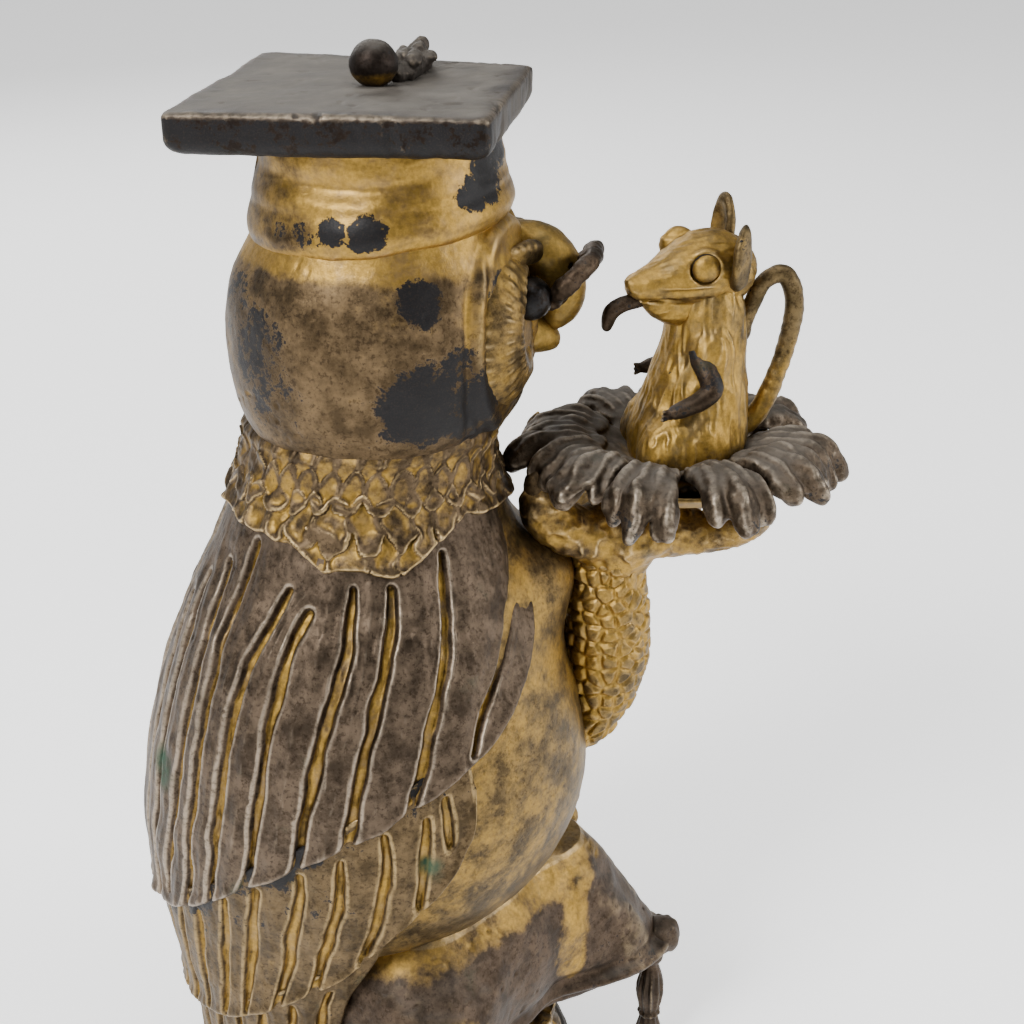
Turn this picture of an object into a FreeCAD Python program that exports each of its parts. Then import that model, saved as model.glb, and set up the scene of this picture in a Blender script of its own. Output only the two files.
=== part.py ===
"""Figural bookend: a gilt cast owl in a mortarboard, seated on a tasselled cushion on a stump,
holding up a leafy saucer with a mouse in it. Millimetres, +Z up, the owl faces +X, and the origin
is the centre of the underside of the felt pad."""

import FreeCAD, Part
import math
import os

V = FreeCAD.Vector
UP = V(0, 0, 1)

# Driving dimensions
FELT_RADIUS, FELT_THICK = 42.0, 1.5
PLINTH_RADIUS, PLINTH_TOP = 44.5, 12.0
STUMP_RADIUS, STUMP_TOP = 39.0, 31.0
CUSHION_CENTRE_X = 8.0
NECK_Z = 171.0
LAYER = 1.8  # thickness of one cast layer of feathers
BOARD_TOP, BOARD_THICK = 234.0, 7.0
SAUCER = V(62.5, 0, 162.0)  # centre of the saucer's rim
SAUCER_RADIUS = 22.5
LEAVES = 11
STUD_RADIUS = 3.0
WALL = 5.0  # thickness of the hollow castings
FIT = 0.05  # radial clearance round the stud
GAP = 0.15  # half the seam between castings that only touch

# Outer surface of the feathered torso: height, rearmost x, foremost x, half width
TORSO = [
    (58, -45, 20, 24), (66, -47, 32, 34), (76, -47.6, 40, 40), (88, -47.6, 45, 43),
    (100, -46, 46, 44), (112, -43.5, 44, 43.5), (125, -39.5, 40, 41), (138, -34.3, 36, 36.5),
    (150, -28, 31, 30), (160, -23.5, 28, 25.5), (NECK_Z, -19.2, 25, 22),
]
HEAD = [
    (NECK_Z, -18, 25, 22), (176, -20.5, 30.5, 25), (184, -22, 33.5, 27), (193, -22, 34, 27.5),
    (201, -20.2, 33, 26.3), (207.5, -16.8, 30.6, 23.9), (213, -12, 27, 19.5),
]
# The tail coat that hangs behind the cushion: height, rearmost x, foremost x, half width
COAT = [(17, -44, 14, 27), (30, -44.5, 16, 31), (45, -45, 18, 34), (60, -46, 22, 37), (72, -47.3, 34, 39)]
# Lower edge of a wing in side view, from its front down to its tip at the back
WING_EDGE = [
    (34, 146), (31, 136), (27, 126), (17, 117), (4, 110), (-10, 103), (-25, 93), (-37, 80), (-50, 66),
]
MANTLE_EDGE = [(21, 118), (20, 106), (11, 91), (3, 81), (-8, 70), (-26, 56), (-50, 46)]


def ellipse_wire(z, back, front, half_width, inset=0.0):
    """A closed wire round an ellipse, level at height z."""
    centre, a, b = (back + front) / 2, (front - back) / 2 - inset, half_width - inset
    turns = [2 * math.pi * k / 16 for k in range(16)]
    curve = Part.BSplineCurve()
    curve.interpolate([V(centre + a * math.cos(t), b * math.sin(t), z) for t in turns], PeriodicFlag=True)
    return Part.Wire(curve.toShape())


def lofted(sections, inset=0.0):
    return Part.makeLoft([ellipse_wire(*s, inset=inset) for s in sections], True, False)


def ellipsoid(centre, radii, turn=0.0, tip=0.0):
    """An ellipsoid turned about Z, after tipping its nose down about Y, in degrees."""
    stretch = FreeCAD.Matrix()
    stretch.scale(*radii)
    shape = Part.makeSphere(1.0).transformGeometry(stretch)
    shape.rotate(V(), V(0, 1, 0), tip)
    shape.rotate(V(), UP, turn)
    shape.translate(centre)
    return shape


def limb(points, radii):
    """A tapering round bar through the points."""
    points = [V(*p) for p in points]
    wires = []
    for k, (point, radius) in enumerate(zip(points, radii)):
        along = points[min(k + 1, len(points) - 1)] - points[max(k - 1, 0)]
        wires.append(Part.Wire(Part.makeCircle(radius, point, along)))
    return Part.makeLoft(wires, True, False)


def jointed_limb(points, radii):
    """Straight tapering bars with a ball at every joint, for a limb with a sharp elbow."""
    points = [V(*p) for p in points]
    shape = Part.makeSphere(radii[0], points[0])
    for start, end, radius, next_radius in zip(points, points[1:], radii, radii[1:]):
        along = end - start
        shape = shape.fuse(Part.makeCone(radius, next_radius, along.Length, start, along))
        shape = shape.fuse(Part.makeSphere(next_radius, end))
    return shape


def turned(profile, x=0.0, y=0.0):
    """A solid of revolution about a vertical axis through (x, y), from (radius, height) points."""
    face = Part.Face(Part.makePolygon([V(r, 0, z) for r, z in profile + profile[:1]]))
    shape = face.revolve(V(), UP, 360)
    shape.translate(V(x, y, 0))
    return shape


def side_prism(outline, y_from, y_to):
    """A prism across the object from an outline of (x, z) points."""
    face = Part.Face(Part.makePolygon([V(x, y_from, z) for x, z in outline + outline[:1]]))
    return face.extrude(V(0, y_to - y_from, 0))


def mirrored(shape):
    return shape.mirror(V(), V(0, 1, 0))


def cylinder(radius, low, high, x=0.0, y=0.0):
    return Part.makeCylinder(radius, high - low, V(x, y, low))


def base_parts():
    recess, recess_top = 9.0, 8.0
    plinth = turned([
        (0, FELT_THICK), (FELT_RADIUS, FELT_THICK), (PLINTH_RADIUS, 4), (PLINTH_RADIUS, 9.5),
        (PLINTH_RADIUS - 2, PLINTH_TOP), (0, PLINTH_TOP),
    ])
    plinth = plinth.cut(cylinder(recess, 0, recess_top)).cut(cylinder(STUD_RADIUS + FIT, 0, 20))
    stump = turned([
        (0, STUMP_TOP - 6), (33, STUMP_TOP - 6), (35, PLINTH_TOP), (STUMP_RADIUS + 3.5, PLINTH_TOP),
        (STUMP_RADIUS + 1, 17), (STUMP_RADIUS, 25), (STUMP_RADIUS + 1, STUMP_TOP), (0, STUMP_TOP),
    ]).cut(cylinder(STUD_RADIUS + FIT, 10, 40))
    nut_top, nut_across = recess_top - 1.2, 5.75
    corners = [V(nut_across * math.cos(a), nut_across * math.sin(a), nut_top - 4)
               for a in [math.radians(60 * k) for k in range(7)]]
    nut = Part.Face(Part.makePolygon(corners)).extrude(V(0, 0, 4))
    return {
        "felt_pad": cylinder(FELT_RADIUS, 0, FELT_THICK),
        "base_plinth": plinth,
        "stump": stump,
        "mounting_stud": cylinder(STUD_RADIUS, FELT_THICK + 0.6, 78),
        "stud_washer": cylinder(7.0, nut_top, recess_top).cut(cylinder(STUD_RADIUS + FIT, 0, 20)),
        "stud_nut": nut.cut(cylinder(STUD_RADIUS + FIT, 0, 20)),
    }


def cushion_wire(z, front, side, back, waist):
    """A four-cornered outline with pulled-in edges; waist is the radius midway between two corners."""
    corners = [V(front, 0, z), V(0, side, z), V(-back, 0, z), V(0, -side, z)]
    turns = [math.radians(45 + 90 * k) for k in range(4)]
    middles = [V(waist * math.cos(t), waist * math.sin(t), z) for t in turns]
    centre = V(CUSHION_CENTRE_X, 0, 0)
    edges = [Part.Arc(corners[k] + centre, middles[k] + centre, corners[(k + 1) % 4] + centre).toShape()
             for k in range(4)]
    return Part.Wire(edges)


CUSHION = [  # height, then the reach of the front, side and back corners, then the waist
    (STUMP_TOP, 35, 34, 31, 28), (34.5, 50, 48, 37, 31), (38.5, 58, 56, 39, 32), (45, 54, 50, 38, 33),
    (54, 48, 44, 36, 34), (64, 42, 38, 33, 32), (70, 37, 31, 28, 27),
]


def tassel(x, y, lean_x, lean_y):
    """A cast tassel: a bead, a bound neck and a long skirt, hanging from a corner of the cushion."""
    profile = [(0, 36.5), (2.2, 36), (2.9, 34), (2.5, 31.5), (2.0, 29.5), (2.2, 28), (3.0, 24), (3.1, 20),
               (2.6, 15.5), (2.4, 13.5), (2.9, 10), (3.1, 6.5), (2.2, 5.2), (0, 5.0)]
    return turned(profile, x - lean_x, y - lean_y)


def cushion_parts(stud_hole, body):
    corners = {"front": (1, 0, 58), "right": (0, -1, 56), "left": (0, 1, 56)}
    cushion = Part.makeLoft([cushion_wire(*s) for s in CUSHION], True, True)
    cushion = cushion.cut(body).cut(stud_hole)
    parts, knobs = {}, []
    for name, (dx, dy, reach) in corners.items():
        x, y = CUSHION_CENTRE_X + dx * (reach - 1), dy * (reach - 1)
        knobs.append(ellipsoid(V(x, y, 38.5), (4.2, 4.2, 4.4)))
        parts[name + "_tassel"] = tassel(x, y, 2.0 * dx, 2.0 * dy).cut(knobs[-1])
    for knob in knobs:
        cushion = cushion.cut(knob)
    for name in corners:
        parts[name + "_tassel"] = parts[name + "_tassel"].cut(cushion)
    parts["cushion"] = cushion
    parts["corner_knobs"] = Part.makeCompound(knobs)
    return parts


def torso_parts(stud_hole):
    outer, mid, inner = (lofted(TORSO, inset=LAYER * k) for k in range(3))
    front_only = [(z, back, front + 2 * LAYER, half) for z, back, front, half in TORSO]
    body = lofted(front_only, inset=2 * LAYER).common(Part.makeBox(120, 120, 200, V(-60, -60, 61)))
    hollow = [s for s in front_only if 80 <= s[0] <= 160]
    body = body.cut(lofted(hollow, inset=2 * LAYER + WALL)).cut(stud_hole)
    above_wing = side_prism([(x, z) for x, z in WING_EDGE] + [(-70, 66), (-70, 156), (34, 156)], -60, -GAP)
    above_mantle = side_prism(MANTLE_EDGE + [(-70, 46), (-70, 156), (21, 156)], -60, 60)
    wing = outer.cut(mid).common(above_wing).cut(body)
    mantle_shell = mid.cut(inner).cut(body)
    coat_outer, coat_inner = lofted(COAT, inset=LAYER), lofted(COAT, inset=LAYER + 3.0)
    behind = Part.makeBox(60, 120, 47, V(-60 + 8, -60, 17))
    tail = coat_outer.cut(coat_inner).common(behind)
    collar = Part.makeBox(120, 120, NECK_Z - 156.2, V(-60, -60, 156.2))
    ruff = lofted(TORSO, inset=-0.8).cut(inner).common(collar)
    return {
        "owl_body": body,
        "mantle": mantle_shell.common(above_mantle),
        "right_wing": wing,
        "left_wing": mirrored(wing),
        "tail_feathers": tail,
        "neck_ruff": ruff.cut(body),
    }


def head_parts():
    solid_head = lofted(HEAD)
    head = solid_head.cut(lofted(HEAD[1:-1], inset=WALL))
    crown_sections = [(207.5, -16.8, 31, 24.2), (209.5, -17.6, 31.8, 25), (213, -16.6, 30.8, 24),
                      (217, -15, 29.2, 22.4), (223, -14, 28.4, 21.5),
                      (BOARD_TOP - BOARD_THICK + 3, -13.2, 27.8, 20.8)]
    crown = lofted(crown_sections)
    crown.rotate(V(7, 0, 212), V(0, 1, 0), -5)
    below_board = Part.makeBox(120, 120, 60, V(-60, -60, BOARD_TOP - BOARD_THICK - 60))
    crown = crown.common(below_board).cut(solid_head)
    parts = {"head": head, "cap_crown": crown}
    disc = ellipsoid(V(26.5, -11.5, 192), (7.5, 11.5, 14.5), turn=-18).common(
        Part.makeBox(60, 60, 60, V(0, -60 - GAP, 160))).cut(solid_head).cut(crown)
    eye = ellipsoid(V(31, -10.5, 198), (4.4, 4.4, 4.4)).cut(solid_head)
    disc = disc.cut(eye)
    upper = ellipsoid(V(32, 0, 198.5), (8.3, 6.2, 9.2)).cut(solid_head)
    lower = ellipsoid(V(32.5, 0, 190.5), (6.6, 5.0, 4.4)).cut(solid_head).cut(upper)
    brow = limb([(28, -12, 206), (31.5, -8, 206.5), (34.5, -3, 205)], [1.4, 1.9, 1.3])
    brow = brow.cut(solid_head).cut(crown)
    for name, side in (("right", 1), ("left", -1)):
        place = (lambda s: s) if side == 1 else mirrored
        parts[name + "_face_disc"] = place(disc).cut(upper).cut(lower)
        parts[name + "_eye"] = place(eye)
        parts[name + "_brow_tuft"] = place(brow).cut(upper).cut(place(disc)).cut(place(eye))
    parts["upper_beak"] = upper
    parts["lower_beak"] = lower
    parts.update(spectacles(upper, lower))
    return parts


def spectacles(upper, lower):
    """Pince-nez clipped a little askew across the beak, leaning forward, with thick rims."""
    ring_radius, wire_radius, spread, lens_thick = 5.6, 1.6, 7.0, 1.0
    up, across = V(0.707, 0, 0.707), V(0.20, 0.95, -0.20)
    rings = [Part.makeTorus(ring_radius, wire_radius).translated(V(0, side * spread, 0)) for side in (-1, 1)]
    bridge = limb([(0, -2.0, 0.4), (1.4, 0, 0.8), (0, 2.0, 0.4)], [1.1, 1.2, 1.1])
    frame = rings[0].fuse(rings[1]).fuse(bridge)
    lens_radius = ring_radius - wire_radius * 0.9
    lenses = []
    for side in (-1, 1):
        lenses.append(Part.makeCylinder(lens_radius, lens_thick, V(0, side * spread, -lens_thick / 2)))
    facing = up.cross(across).normalize()
    across = facing.cross(up)
    turned_to = FreeCAD.Rotation(across.cross(facing), across, facing, "ZYX")
    place = FreeCAD.Placement(V(41.7, 0, 198.8), turned_to)
    placed = []
    for shape in (frame, Part.makeCompound([lens.cut(frame) for lens in lenses])):
        shape = shape.copy()
        shape.Placement = place
        placed.append(shape.cut(upper).cut(lower))
    return {"spectacle_frame": placed[0], "spectacle_lenses": placed[1]}


def mortarboard_parts():
    """The square board lies turned on the head; its corners run from right-back to left-back."""
    corners = [(-29, -19.5), (22.5, -31.5), (37, 17.5), (-13, 38)]
    low = BOARD_TOP - BOARD_THICK
    board = Part.Face(Part.makePolygon([V(x, y, low) for x, y in corners + corners[:1]]))
    board = board.extrude(V(0, 0, BOARD_THICK))
    uprights = [e for e in board.Edges if abs(e.tangentAt(e.FirstParameter).z) > 0.9]
    board = board.makeFillet(3.0, uprights)
    board = board.makeFillet(1.2, [e for e in board.Edges if abs(e.tangentAt(e.FirstParameter).z) < 0.1])
    button = ellipsoid(V(6.4, 0, BOARD_TOP + 3.6), (4.2, 4.2, 4.2)).cut(board)
    knot = limb([(10.5, 4, BOARD_TOP + 1), (13, 10, BOARD_TOP + 2), (15, 16, BOARD_TOP + 2),
                 (16.5, 22, BOARD_TOP + 0.6)], [1.5, 2.8, 2.8, 1.6]).cut(board).cut(button)
    hanging = [(16.5, 23, BOARD_TOP + 0.2), (17.2, 30, BOARD_TOP), (17.6, 32.5, BOARD_TOP - 4),
               (17.6, 32.6, BOARD_TOP - 10), (17.6, 32.6, BOARD_TOP - 19)]
    tassel_top = limb(hanging, [1.2, 1.4, 1.6, 2.6, 3.2])
    return {"mortarboard": board, "cap_button": button, "cap_tassel_cord": knot,
            "cap_tassel": tassel_top.cut(board).cut(knot)}


def raised_leg_parts(body):
    leg_sections = [(98, 41, 52, 5.5), (104, 41, 57.3, 8), (113, 41.5, 58.5, 9.5), (126, 42, 58.4, 9),
                    (137, 42.5, 57.5, 8), (143, 44, 58, 7.5)]
    leg = lofted(leg_sections).cut(body)
    palm = ellipsoid(V(54, -1, 147), (12.5, 10.5, 4.8))
    toes = {
        "rear": ([(48, -3, 147), (41, -4, 148), (36, -4.5, 151), (33.8, -4.6, 156)], [4.6, 4.2, 3.9, 3.2]),
        "front": ([(60, -2.5, 146.5), (67, -4.5, 146), (74, -6, 147.5), (78.5, -6.5, 150)],
                  [4.4, 3.4, 3.0, 2.7]),
        "outer_front": ([(58, 3, 147), (66, 10, 147), (74, 16, 149.5), (79, 20, 154)], [4.2, 3.4, 3.0, 2.6]),
        "outer_rear": ([(50, 4, 147), (45, 11, 148), (41, 17, 151.5), (39, 20, 156.5)], [4.2, 3.4, 3.0, 2.6]),
    }
    talons = {
        "rear": ([(33.8, -4.6, 156), (33.9, -4.6, 159.5), (35.6, -4.5, 163.5)], [3.2, 2.2, 0.5]),
        "front": ([(79.5, -3.5, 149.5), (80.6, -3.5, 152), (80, -3.5, 155)], [2.7, 1.9, 0.5]),
        "outer_front": ([(79, 20, 154), (80.5, 21.5, 157.5), (80, 21.5, 161)], [2.6, 1.8, 0.5]),
        "outer_rear": ([(39, 20, 156.5), (37.8, 21, 160), (38.3, 21, 163.5)], [2.6, 1.8, 0.5]),
    }
    foot_shape = palm
    for points, radii in toes.values():
        foot_shape = foot_shape.fuse(limb(points, radii))
    leg = leg.cut(foot_shape)
    claws = [limb(points, radii).cut(foot_shape) for points, radii in talons.values()]
    return {"raised_leg": leg, "raised_foot": foot_shape.cut(body), "raised_talons": Part.makeCompound(claws)}


def standing_foot_parts(body, cushion):
    """The other foot, tucked under the far side of the belly, with its toes over the cushion."""
    ankle = V(31, 19, 74)
    shape = ellipsoid(ankle, (8, 7, 5))
    claws = []
    for spread in (-28, 2, 32):
        turn = math.radians(spread)
        reach = V(math.cos(turn), math.sin(turn), 0)
        points = [tuple(ankle + reach * along + UP * rise) for along, rise in ((2, 0), (8, -1.5), (13, -5))]
        shape = shape.fuse(limb(points, [3.6, 3.2, 2.6]))
        curl = ((13, -5), (15.5, -8), (16, -11.5))
        tips = [tuple(ankle + reach * along + UP * rise) for along, rise in curl]
        claws.append(limb(tips, [2.5, 1.7, 0.5]))
    shape = shape.cut(body)
    return {"standing_foot": shape.cut(cushion),
            "standing_talons": Part.makeCompound([claw.cut(shape).cut(cushion) for claw in claws])}


def saucer_parts(foot_shape):
    x, y, rim = SAUCER
    saucer = turned([(0, rim - 7), (9, rim - 7), (17, rim - 4.2), (SAUCER_RADIUS, rim - 0.8),
                     (SAUCER_RADIUS, rim), (16.5, rim - 2.7), (9, rim - 5.2), (0, rim - 5.2)], x, y)
    boss = cylinder(4.0, rim - 14, rim - 7, x, y)
    screw_head = Part.makeCone(2.6, 1.5, 1.6, V(x, y, rim - 5.2), V(0, 0, -1))
    screw = screw_head.fuse(cylinder(1.5, rim - 17, rim - 6.8, x, y))
    hole = cylinder(1.5 + FIT, rim - 30, rim, x, y)
    return {"saucer": saucer.fuse(boss).cut(foot_shape).cut(hole).cut(screw_head), "saucer_screw": screw}


def leaf(turn_degrees, inner, crest, reach, droop):
    """One leaf of the ruff, from under the mouse over the saucer's rim to its hanging tip."""
    turn = math.radians(turn_degrees)
    out, across = V(math.cos(turn), math.sin(turn), 0), V(-math.sin(turn), math.cos(turn), 0)
    stations = [(inner, -0.6, 2.8, 1.1), (crest - 3, 2.4, 4.2, 1.4), (crest + 3, 2.6, 4.8, 1.6),
                (reach - 4, 2.4 - droop * 0.5, 3.6, 1.7), (reach, 1.6 - droop, 1.3, 1.0)]
    wires = []
    for k, (along, rise, half_width, half_thick) in enumerate(stations):
        centre = SAUCER + out * along + UP * rise
        lean = math.radians((25, 12, -20, -50, -75)[k])
        normal = out * -math.sin(lean) + UP * math.cos(lean)
        points = [centre + across * (half_width * math.cos(t)) + normal * (half_thick * math.sin(t))
                  for t in [2 * math.pi * j / 10 for j in range(10)]]
        curve = Part.BSplineCurve()
        curve.interpolate(points, PeriodicFlag=True)
        wires.append(Part.Wire(curve.toShape()))
    return Part.makeLoft(wires, True, False)


def mouse_parts():
    body = lofted([(157.2, 54, 75, 10.5), (163, 52.5, 77.5, 12.5), (170, 54.5, 76, 11), (180, 58, 75, 8.8),
                   (190, 59.8, 74, 7.2), (195, 60.5, 73, 6.6)])
    skull = [(51.8, -4.6, 199.3), (54, -4, 199), (60, -2, 199.4), (66, 0, 200), (70.5, 1, 199.8),
             (73.5, 1.5, 198.6)]
    head = limb(skull, [1.2, 3.0, 5.2, 6.6, 5.4, 2.8]).cut(body)
    eyes = [ellipsoid(V(64.6, -6.2, 201.2), (2.6, 1.7, 2.6)), ellipsoid(V(61.5, 4.2, 203.2), (2.6, 1.8, 2.6))]
    near_ear = ellipsoid(V(72.0, -5.6, 201), (1.6, 3.2, 5.6), turn=20, tip=8).cut(head)
    far_ear = ellipsoid(V(70.4, 5.0, 204.6), (1.8, 3.0, 6.0), turn=-20, tip=-6).cut(head)
    hanging = [(54.6, -3.8, 195.8), (51, -4.2, 195.4), (48.6, -4.5, 194.8), (47.2, -4.6, 193),
               (46.9, -4.6, 190.4)]
    tongue = limb(hanging, [1.5, 1.2, 1.3, 1.5, 1.3]).cut(head)
    bent = [(64.6, -7.4, 184.5), (66.4, -10.4, 179), (59.6, -12.6, 176)]
    right_arm = jointed_limb(bent, [1.5, 1.8, 1.0]).cut(body)
    curl = [(75.5, 0, 166.5), (79, 0, 169.5), (81.6, 0, 175.4), (84, 0, 184), (85, 0, 192), (82.2, 0, 197.4),
            (78.4, 0, 196.2), (76, 0, 191.4), (74.2, 0, 186.5)]
    tail = limb(curl, [2.4, 2.0, 1.8, 1.8, 1.9, 1.8, 1.6, 1.4, 1.2]).cut(body)
    return {
        "mouse_body": body, "mouse_head": head, "mouse_right_ear": near_ear, "mouse_left_ear": far_ear,
        "mouse_eyes": Part.makeCompound([eye.cut(head) for eye in eyes]), "mouse_tongue": tongue,
        "mouse_right_arm": right_arm, "mouse_left_arm": mirrored(right_arm), "mouse_tail": tail,
    }


def all_parts():
    stud_hole = cylinder(STUD_RADIUS + FIT, 20, 78.05)
    parts = torso_parts(stud_hole)
    parts.update(base_parts())
    parts.update(cushion_parts(stud_hole, parts["owl_body"]))
    parts.update(head_parts())
    parts.update(mortarboard_parts())
    parts.update(raised_leg_parts(parts["owl_body"]))
    parts.update(standing_foot_parts(parts["owl_body"], parts["cushion"]))
    parts.update(saucer_parts(parts["raised_foot"]))
    parts.update(mouse_parts())
    leaves = [leaf(17 + 360 / LEAVES * k, 12.6, 17, 31, 4.5) for k in range(LEAVES)]
    leaves = [one.cut(parts["saucer"]).cut(parts["mouse_body"]).cut(parts["raised_foot"]) for one in leaves]
    parts["leaf_ruff"] = Part.makeCompound(leaves)
    return parts


def main():
    os.makedirs("parts", exist_ok=True)
    for name, shape in all_parts().items():
        solids = [s for s in shape.Solids if s.Volume > 0.5]
        print(f"{name}: {len(solids)} solids, {sum(s.Volume for s in solids) / 1000:.2f} cm3, "
              f"valid {all(s.isValid() for s in solids)}")
        shape = solids[0] if len(solids) == 1 else Part.makeCompound(solids)
        shape.exportStep(f"parts/{name}.step")


main()
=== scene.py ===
"""Looks of a gilt cast bookend: an owl in a mortarboard, seated on a cushion, holding up a mouse."""
import itertools
import math

import bpy
import numpy as np
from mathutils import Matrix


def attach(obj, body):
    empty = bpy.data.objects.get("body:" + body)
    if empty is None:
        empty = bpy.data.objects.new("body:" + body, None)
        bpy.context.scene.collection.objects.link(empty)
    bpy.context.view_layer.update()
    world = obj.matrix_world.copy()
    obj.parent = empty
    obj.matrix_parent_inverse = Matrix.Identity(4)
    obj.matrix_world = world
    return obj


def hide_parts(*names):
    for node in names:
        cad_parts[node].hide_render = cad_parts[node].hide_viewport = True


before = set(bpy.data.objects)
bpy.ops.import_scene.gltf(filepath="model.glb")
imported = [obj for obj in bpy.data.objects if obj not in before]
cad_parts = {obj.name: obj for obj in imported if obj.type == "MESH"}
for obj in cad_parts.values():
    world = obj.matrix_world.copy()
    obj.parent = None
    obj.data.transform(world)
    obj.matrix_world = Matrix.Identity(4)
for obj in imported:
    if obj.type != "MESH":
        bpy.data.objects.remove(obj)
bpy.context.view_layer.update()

import openvdb as vdb
from mathutils import Vector

MM = 0.001  # the modelling below is in millimetres, and meshes are written in metres

# ---------------------------------------------------------------- camera
CAMERA_PLACE = (-6.9, -264.6, 281.0)
CAMERA_AZIMUTH, CAMERA_PITCH, CAMERA_LENS = -8.0, 26.0, 52.73


def add_camera():
    data = bpy.data.cameras.new("camera")
    data.lens, data.sensor_width = CAMERA_LENS, 36.0
    data.clip_start, data.clip_end = 0.01, 50.0
    camera = bpy.data.objects.new("camera", data)
    camera.location = Vector(CAMERA_PLACE) * MM
    camera.rotation_euler = (math.radians(90 - CAMERA_PITCH), 0, math.radians(CAMERA_AZIMUTH))
    bpy.context.scene.collection.objects.link(camera)
    bpy.context.scene.camera = camera


add_camera()


# ---------------------------------------------------------------- noise and curves
def lattice(cell, corner, seed):
    """A fixed pseudo-random value in -1..1 for each corner of each lattice cell."""
    mix = (cell[:, 0] + corner[0]) * 374761393 + (cell[:, 1] + corner[1]) * 668265263
    mix = (mix + (cell[:, 2] + corner[2]) * 2246822519 + seed * 3266489917) & 0xFFFFFFFF
    mix = ((mix ^ (mix >> 15)) * 2246822519) & 0xFFFFFFFF
    mix = ((mix ^ (mix >> 13)) * 3266489917) & 0xFFFFFFFF
    return ((mix >> 8) & 0xFFFF) / 32767.5 - 1.0


def noise(points, size, seed, octaves=3):
    """Smooth value noise, about -1..1, whose largest lumps are size mm across."""
    total, weight = np.zeros(len(points)), 1.0
    scaled = np.asarray(points, float) / size
    for octave in range(octaves):
        cell = np.floor(scaled).astype(np.int64)
        part = scaled - cell
        part = part * part * (3 - 2 * part)
        for corner in itertools.product((0, 1), repeat=3):
            share = np.ones(len(points))
            for axis in range(3):
                share *= part[:, axis] if corner[axis] else 1 - part[:, axis]
            total += weight * share * lattice(cell, corner, seed + octave)
        weight *= 0.5
        scaled = scaled * 2.03 + 7.1
    return total * 0.8


def curve(x, xs, ys):
    """A smooth curve through the points (xs, ys), held level past its ends."""
    xs, ys = np.asarray(xs, float), np.asarray(ys, float)
    slopes = np.gradient(ys, xs)
    x = np.clip(x, xs[0], xs[-1])
    k = np.clip(np.searchsorted(xs, x, side="right") - 1, 0, len(xs) - 2)
    step = xs[k + 1] - xs[k]
    t = (x - xs[k]) / step
    near = (1 + 2 * t) * (1 - t) ** 2 * ys[k] + t * (1 - t) ** 2 * step * slopes[k]
    return near + t * t * (3 - 2 * t) * ys[k + 1] + t * t * (t - 1) * step * slopes[k + 1]


def ramp(x, low, high):
    t = np.clip((x - low) / (high - low), 0, 1)
    return t * t * (3 - 2 * t)


def bell(x, centre, width):
    return np.exp(-((x - centre) / width) ** 2)


# ---------------------------------------------------------------- meshes
def grid_faces(rows, columns, wrap=False):
    """Quads of a grid whose vertices run along the columns first. wrap joins the last column to the first."""
    row, column = np.meshgrid(np.arange(rows - 1), np.arange(columns if wrap else columns - 1), indexing="ij")
    beside = (column + 1) % columns
    quads = [row * columns + column, row * columns + beside, (row + 1) * columns + beside, (row + 1) * columns + column]
    return np.stack([q.ravel() for q in quads], 1)


def closed_tube(points):
    """Faces and vertices of a closed skin from rings of points, shape (rows, columns, 3), lowest ring first."""
    rows, columns = points.shape[:2]
    verts = points.reshape(-1, 3)
    low, high = points[0].mean(0), points[-1].mean(0)
    verts = np.vstack([verts, low, high])
    ring = np.arange(columns)
    beside = (ring + 1) % columns
    bottom = np.stack([np.full(columns, len(verts) - 2), beside, ring], 1)
    top_row = (rows - 1) * columns
    top = np.stack([np.full(columns, len(verts) - 1), top_row + ring, top_row + beside], 1)
    return verts, [grid_faces(rows, columns, wrap=True), bottom, top]


def closed_patch(outer, inner):
    """Vertices and faces of a closed shell between two grids of points, shape (rows, columns, 3).
    Rows run upwards, and columns run clockwise as seen from above."""
    rows, columns = outer.shape[:2]
    count = rows * columns
    front = grid_faces(rows, columns)[:, ::-1]
    back = front[:, ::-1] + count
    index = np.arange(count).reshape(rows, columns)
    rim = np.concatenate([index[0, :-1], index[:-1, -1], index[-1, :0:-1], index[:0:-1, 0]])
    beside = np.roll(rim, -1)
    side = np.stack([beside, beside + count, rim + count, rim], 1)
    return np.vstack([outer.reshape(-1, 3), inner.reshape(-1, 3)]), [front, back, side]


def triangles_of(faces):
    parts = []
    for block in faces:
        parts.append(block[:, :3])
        if block.shape[1] == 4:
            parts.append(block[:, [0, 2, 3]])
    return np.vstack(parts)


def vertex_normals(verts, faces):
    tris = triangles_of(faces)
    a, b, c = (verts[tris[:, k]] for k in range(3))
    cross = np.cross(b - a, c - a)
    normals = np.zeros_like(verts)
    for k in range(3):
        for axis in range(3):
            normals[:, axis] += np.bincount(tris[:, k], cross[:, axis], len(verts))
    length = np.linalg.norm(normals, axis=1, keepdims=True)
    return normals / np.maximum(length, 1e-9)


def smoothed(values, faces, rounds):
    """Each vertex's value averaged with its neighbours', several times over."""
    pairs = []
    for block in faces:
        for k in range(block.shape[1]):
            pairs.append(block[:, [k, (k + 1) % block.shape[1]]])
    pairs = np.vstack(pairs)
    ends = np.concatenate([pairs[:, 0], pairs[:, 1]])
    others = np.concatenate([pairs[:, 1], pairs[:, 0]])
    count = np.maximum(np.bincount(ends, minlength=len(values)), 1)
    values = values.copy()
    for _ in range(rounds):
        for axis in range(values.shape[1]):
            mean = np.bincount(ends, values[others, axis], len(values)) / count
            values[:, axis] = 0.35 * values[:, axis] + 0.65 * mean
    return values


def relief_of(verts, faces, normals, rounds):
    """How far each vertex stands out of its smoothed surroundings, in mm: ridges above 0, hollows below."""
    return ((verts - smoothed(verts, faces, rounds)) * normals).sum(1)


def displace(verts, faces, height):
    return verts + vertex_normals(verts, faces) * np.asarray(height)[:, None]


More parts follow.
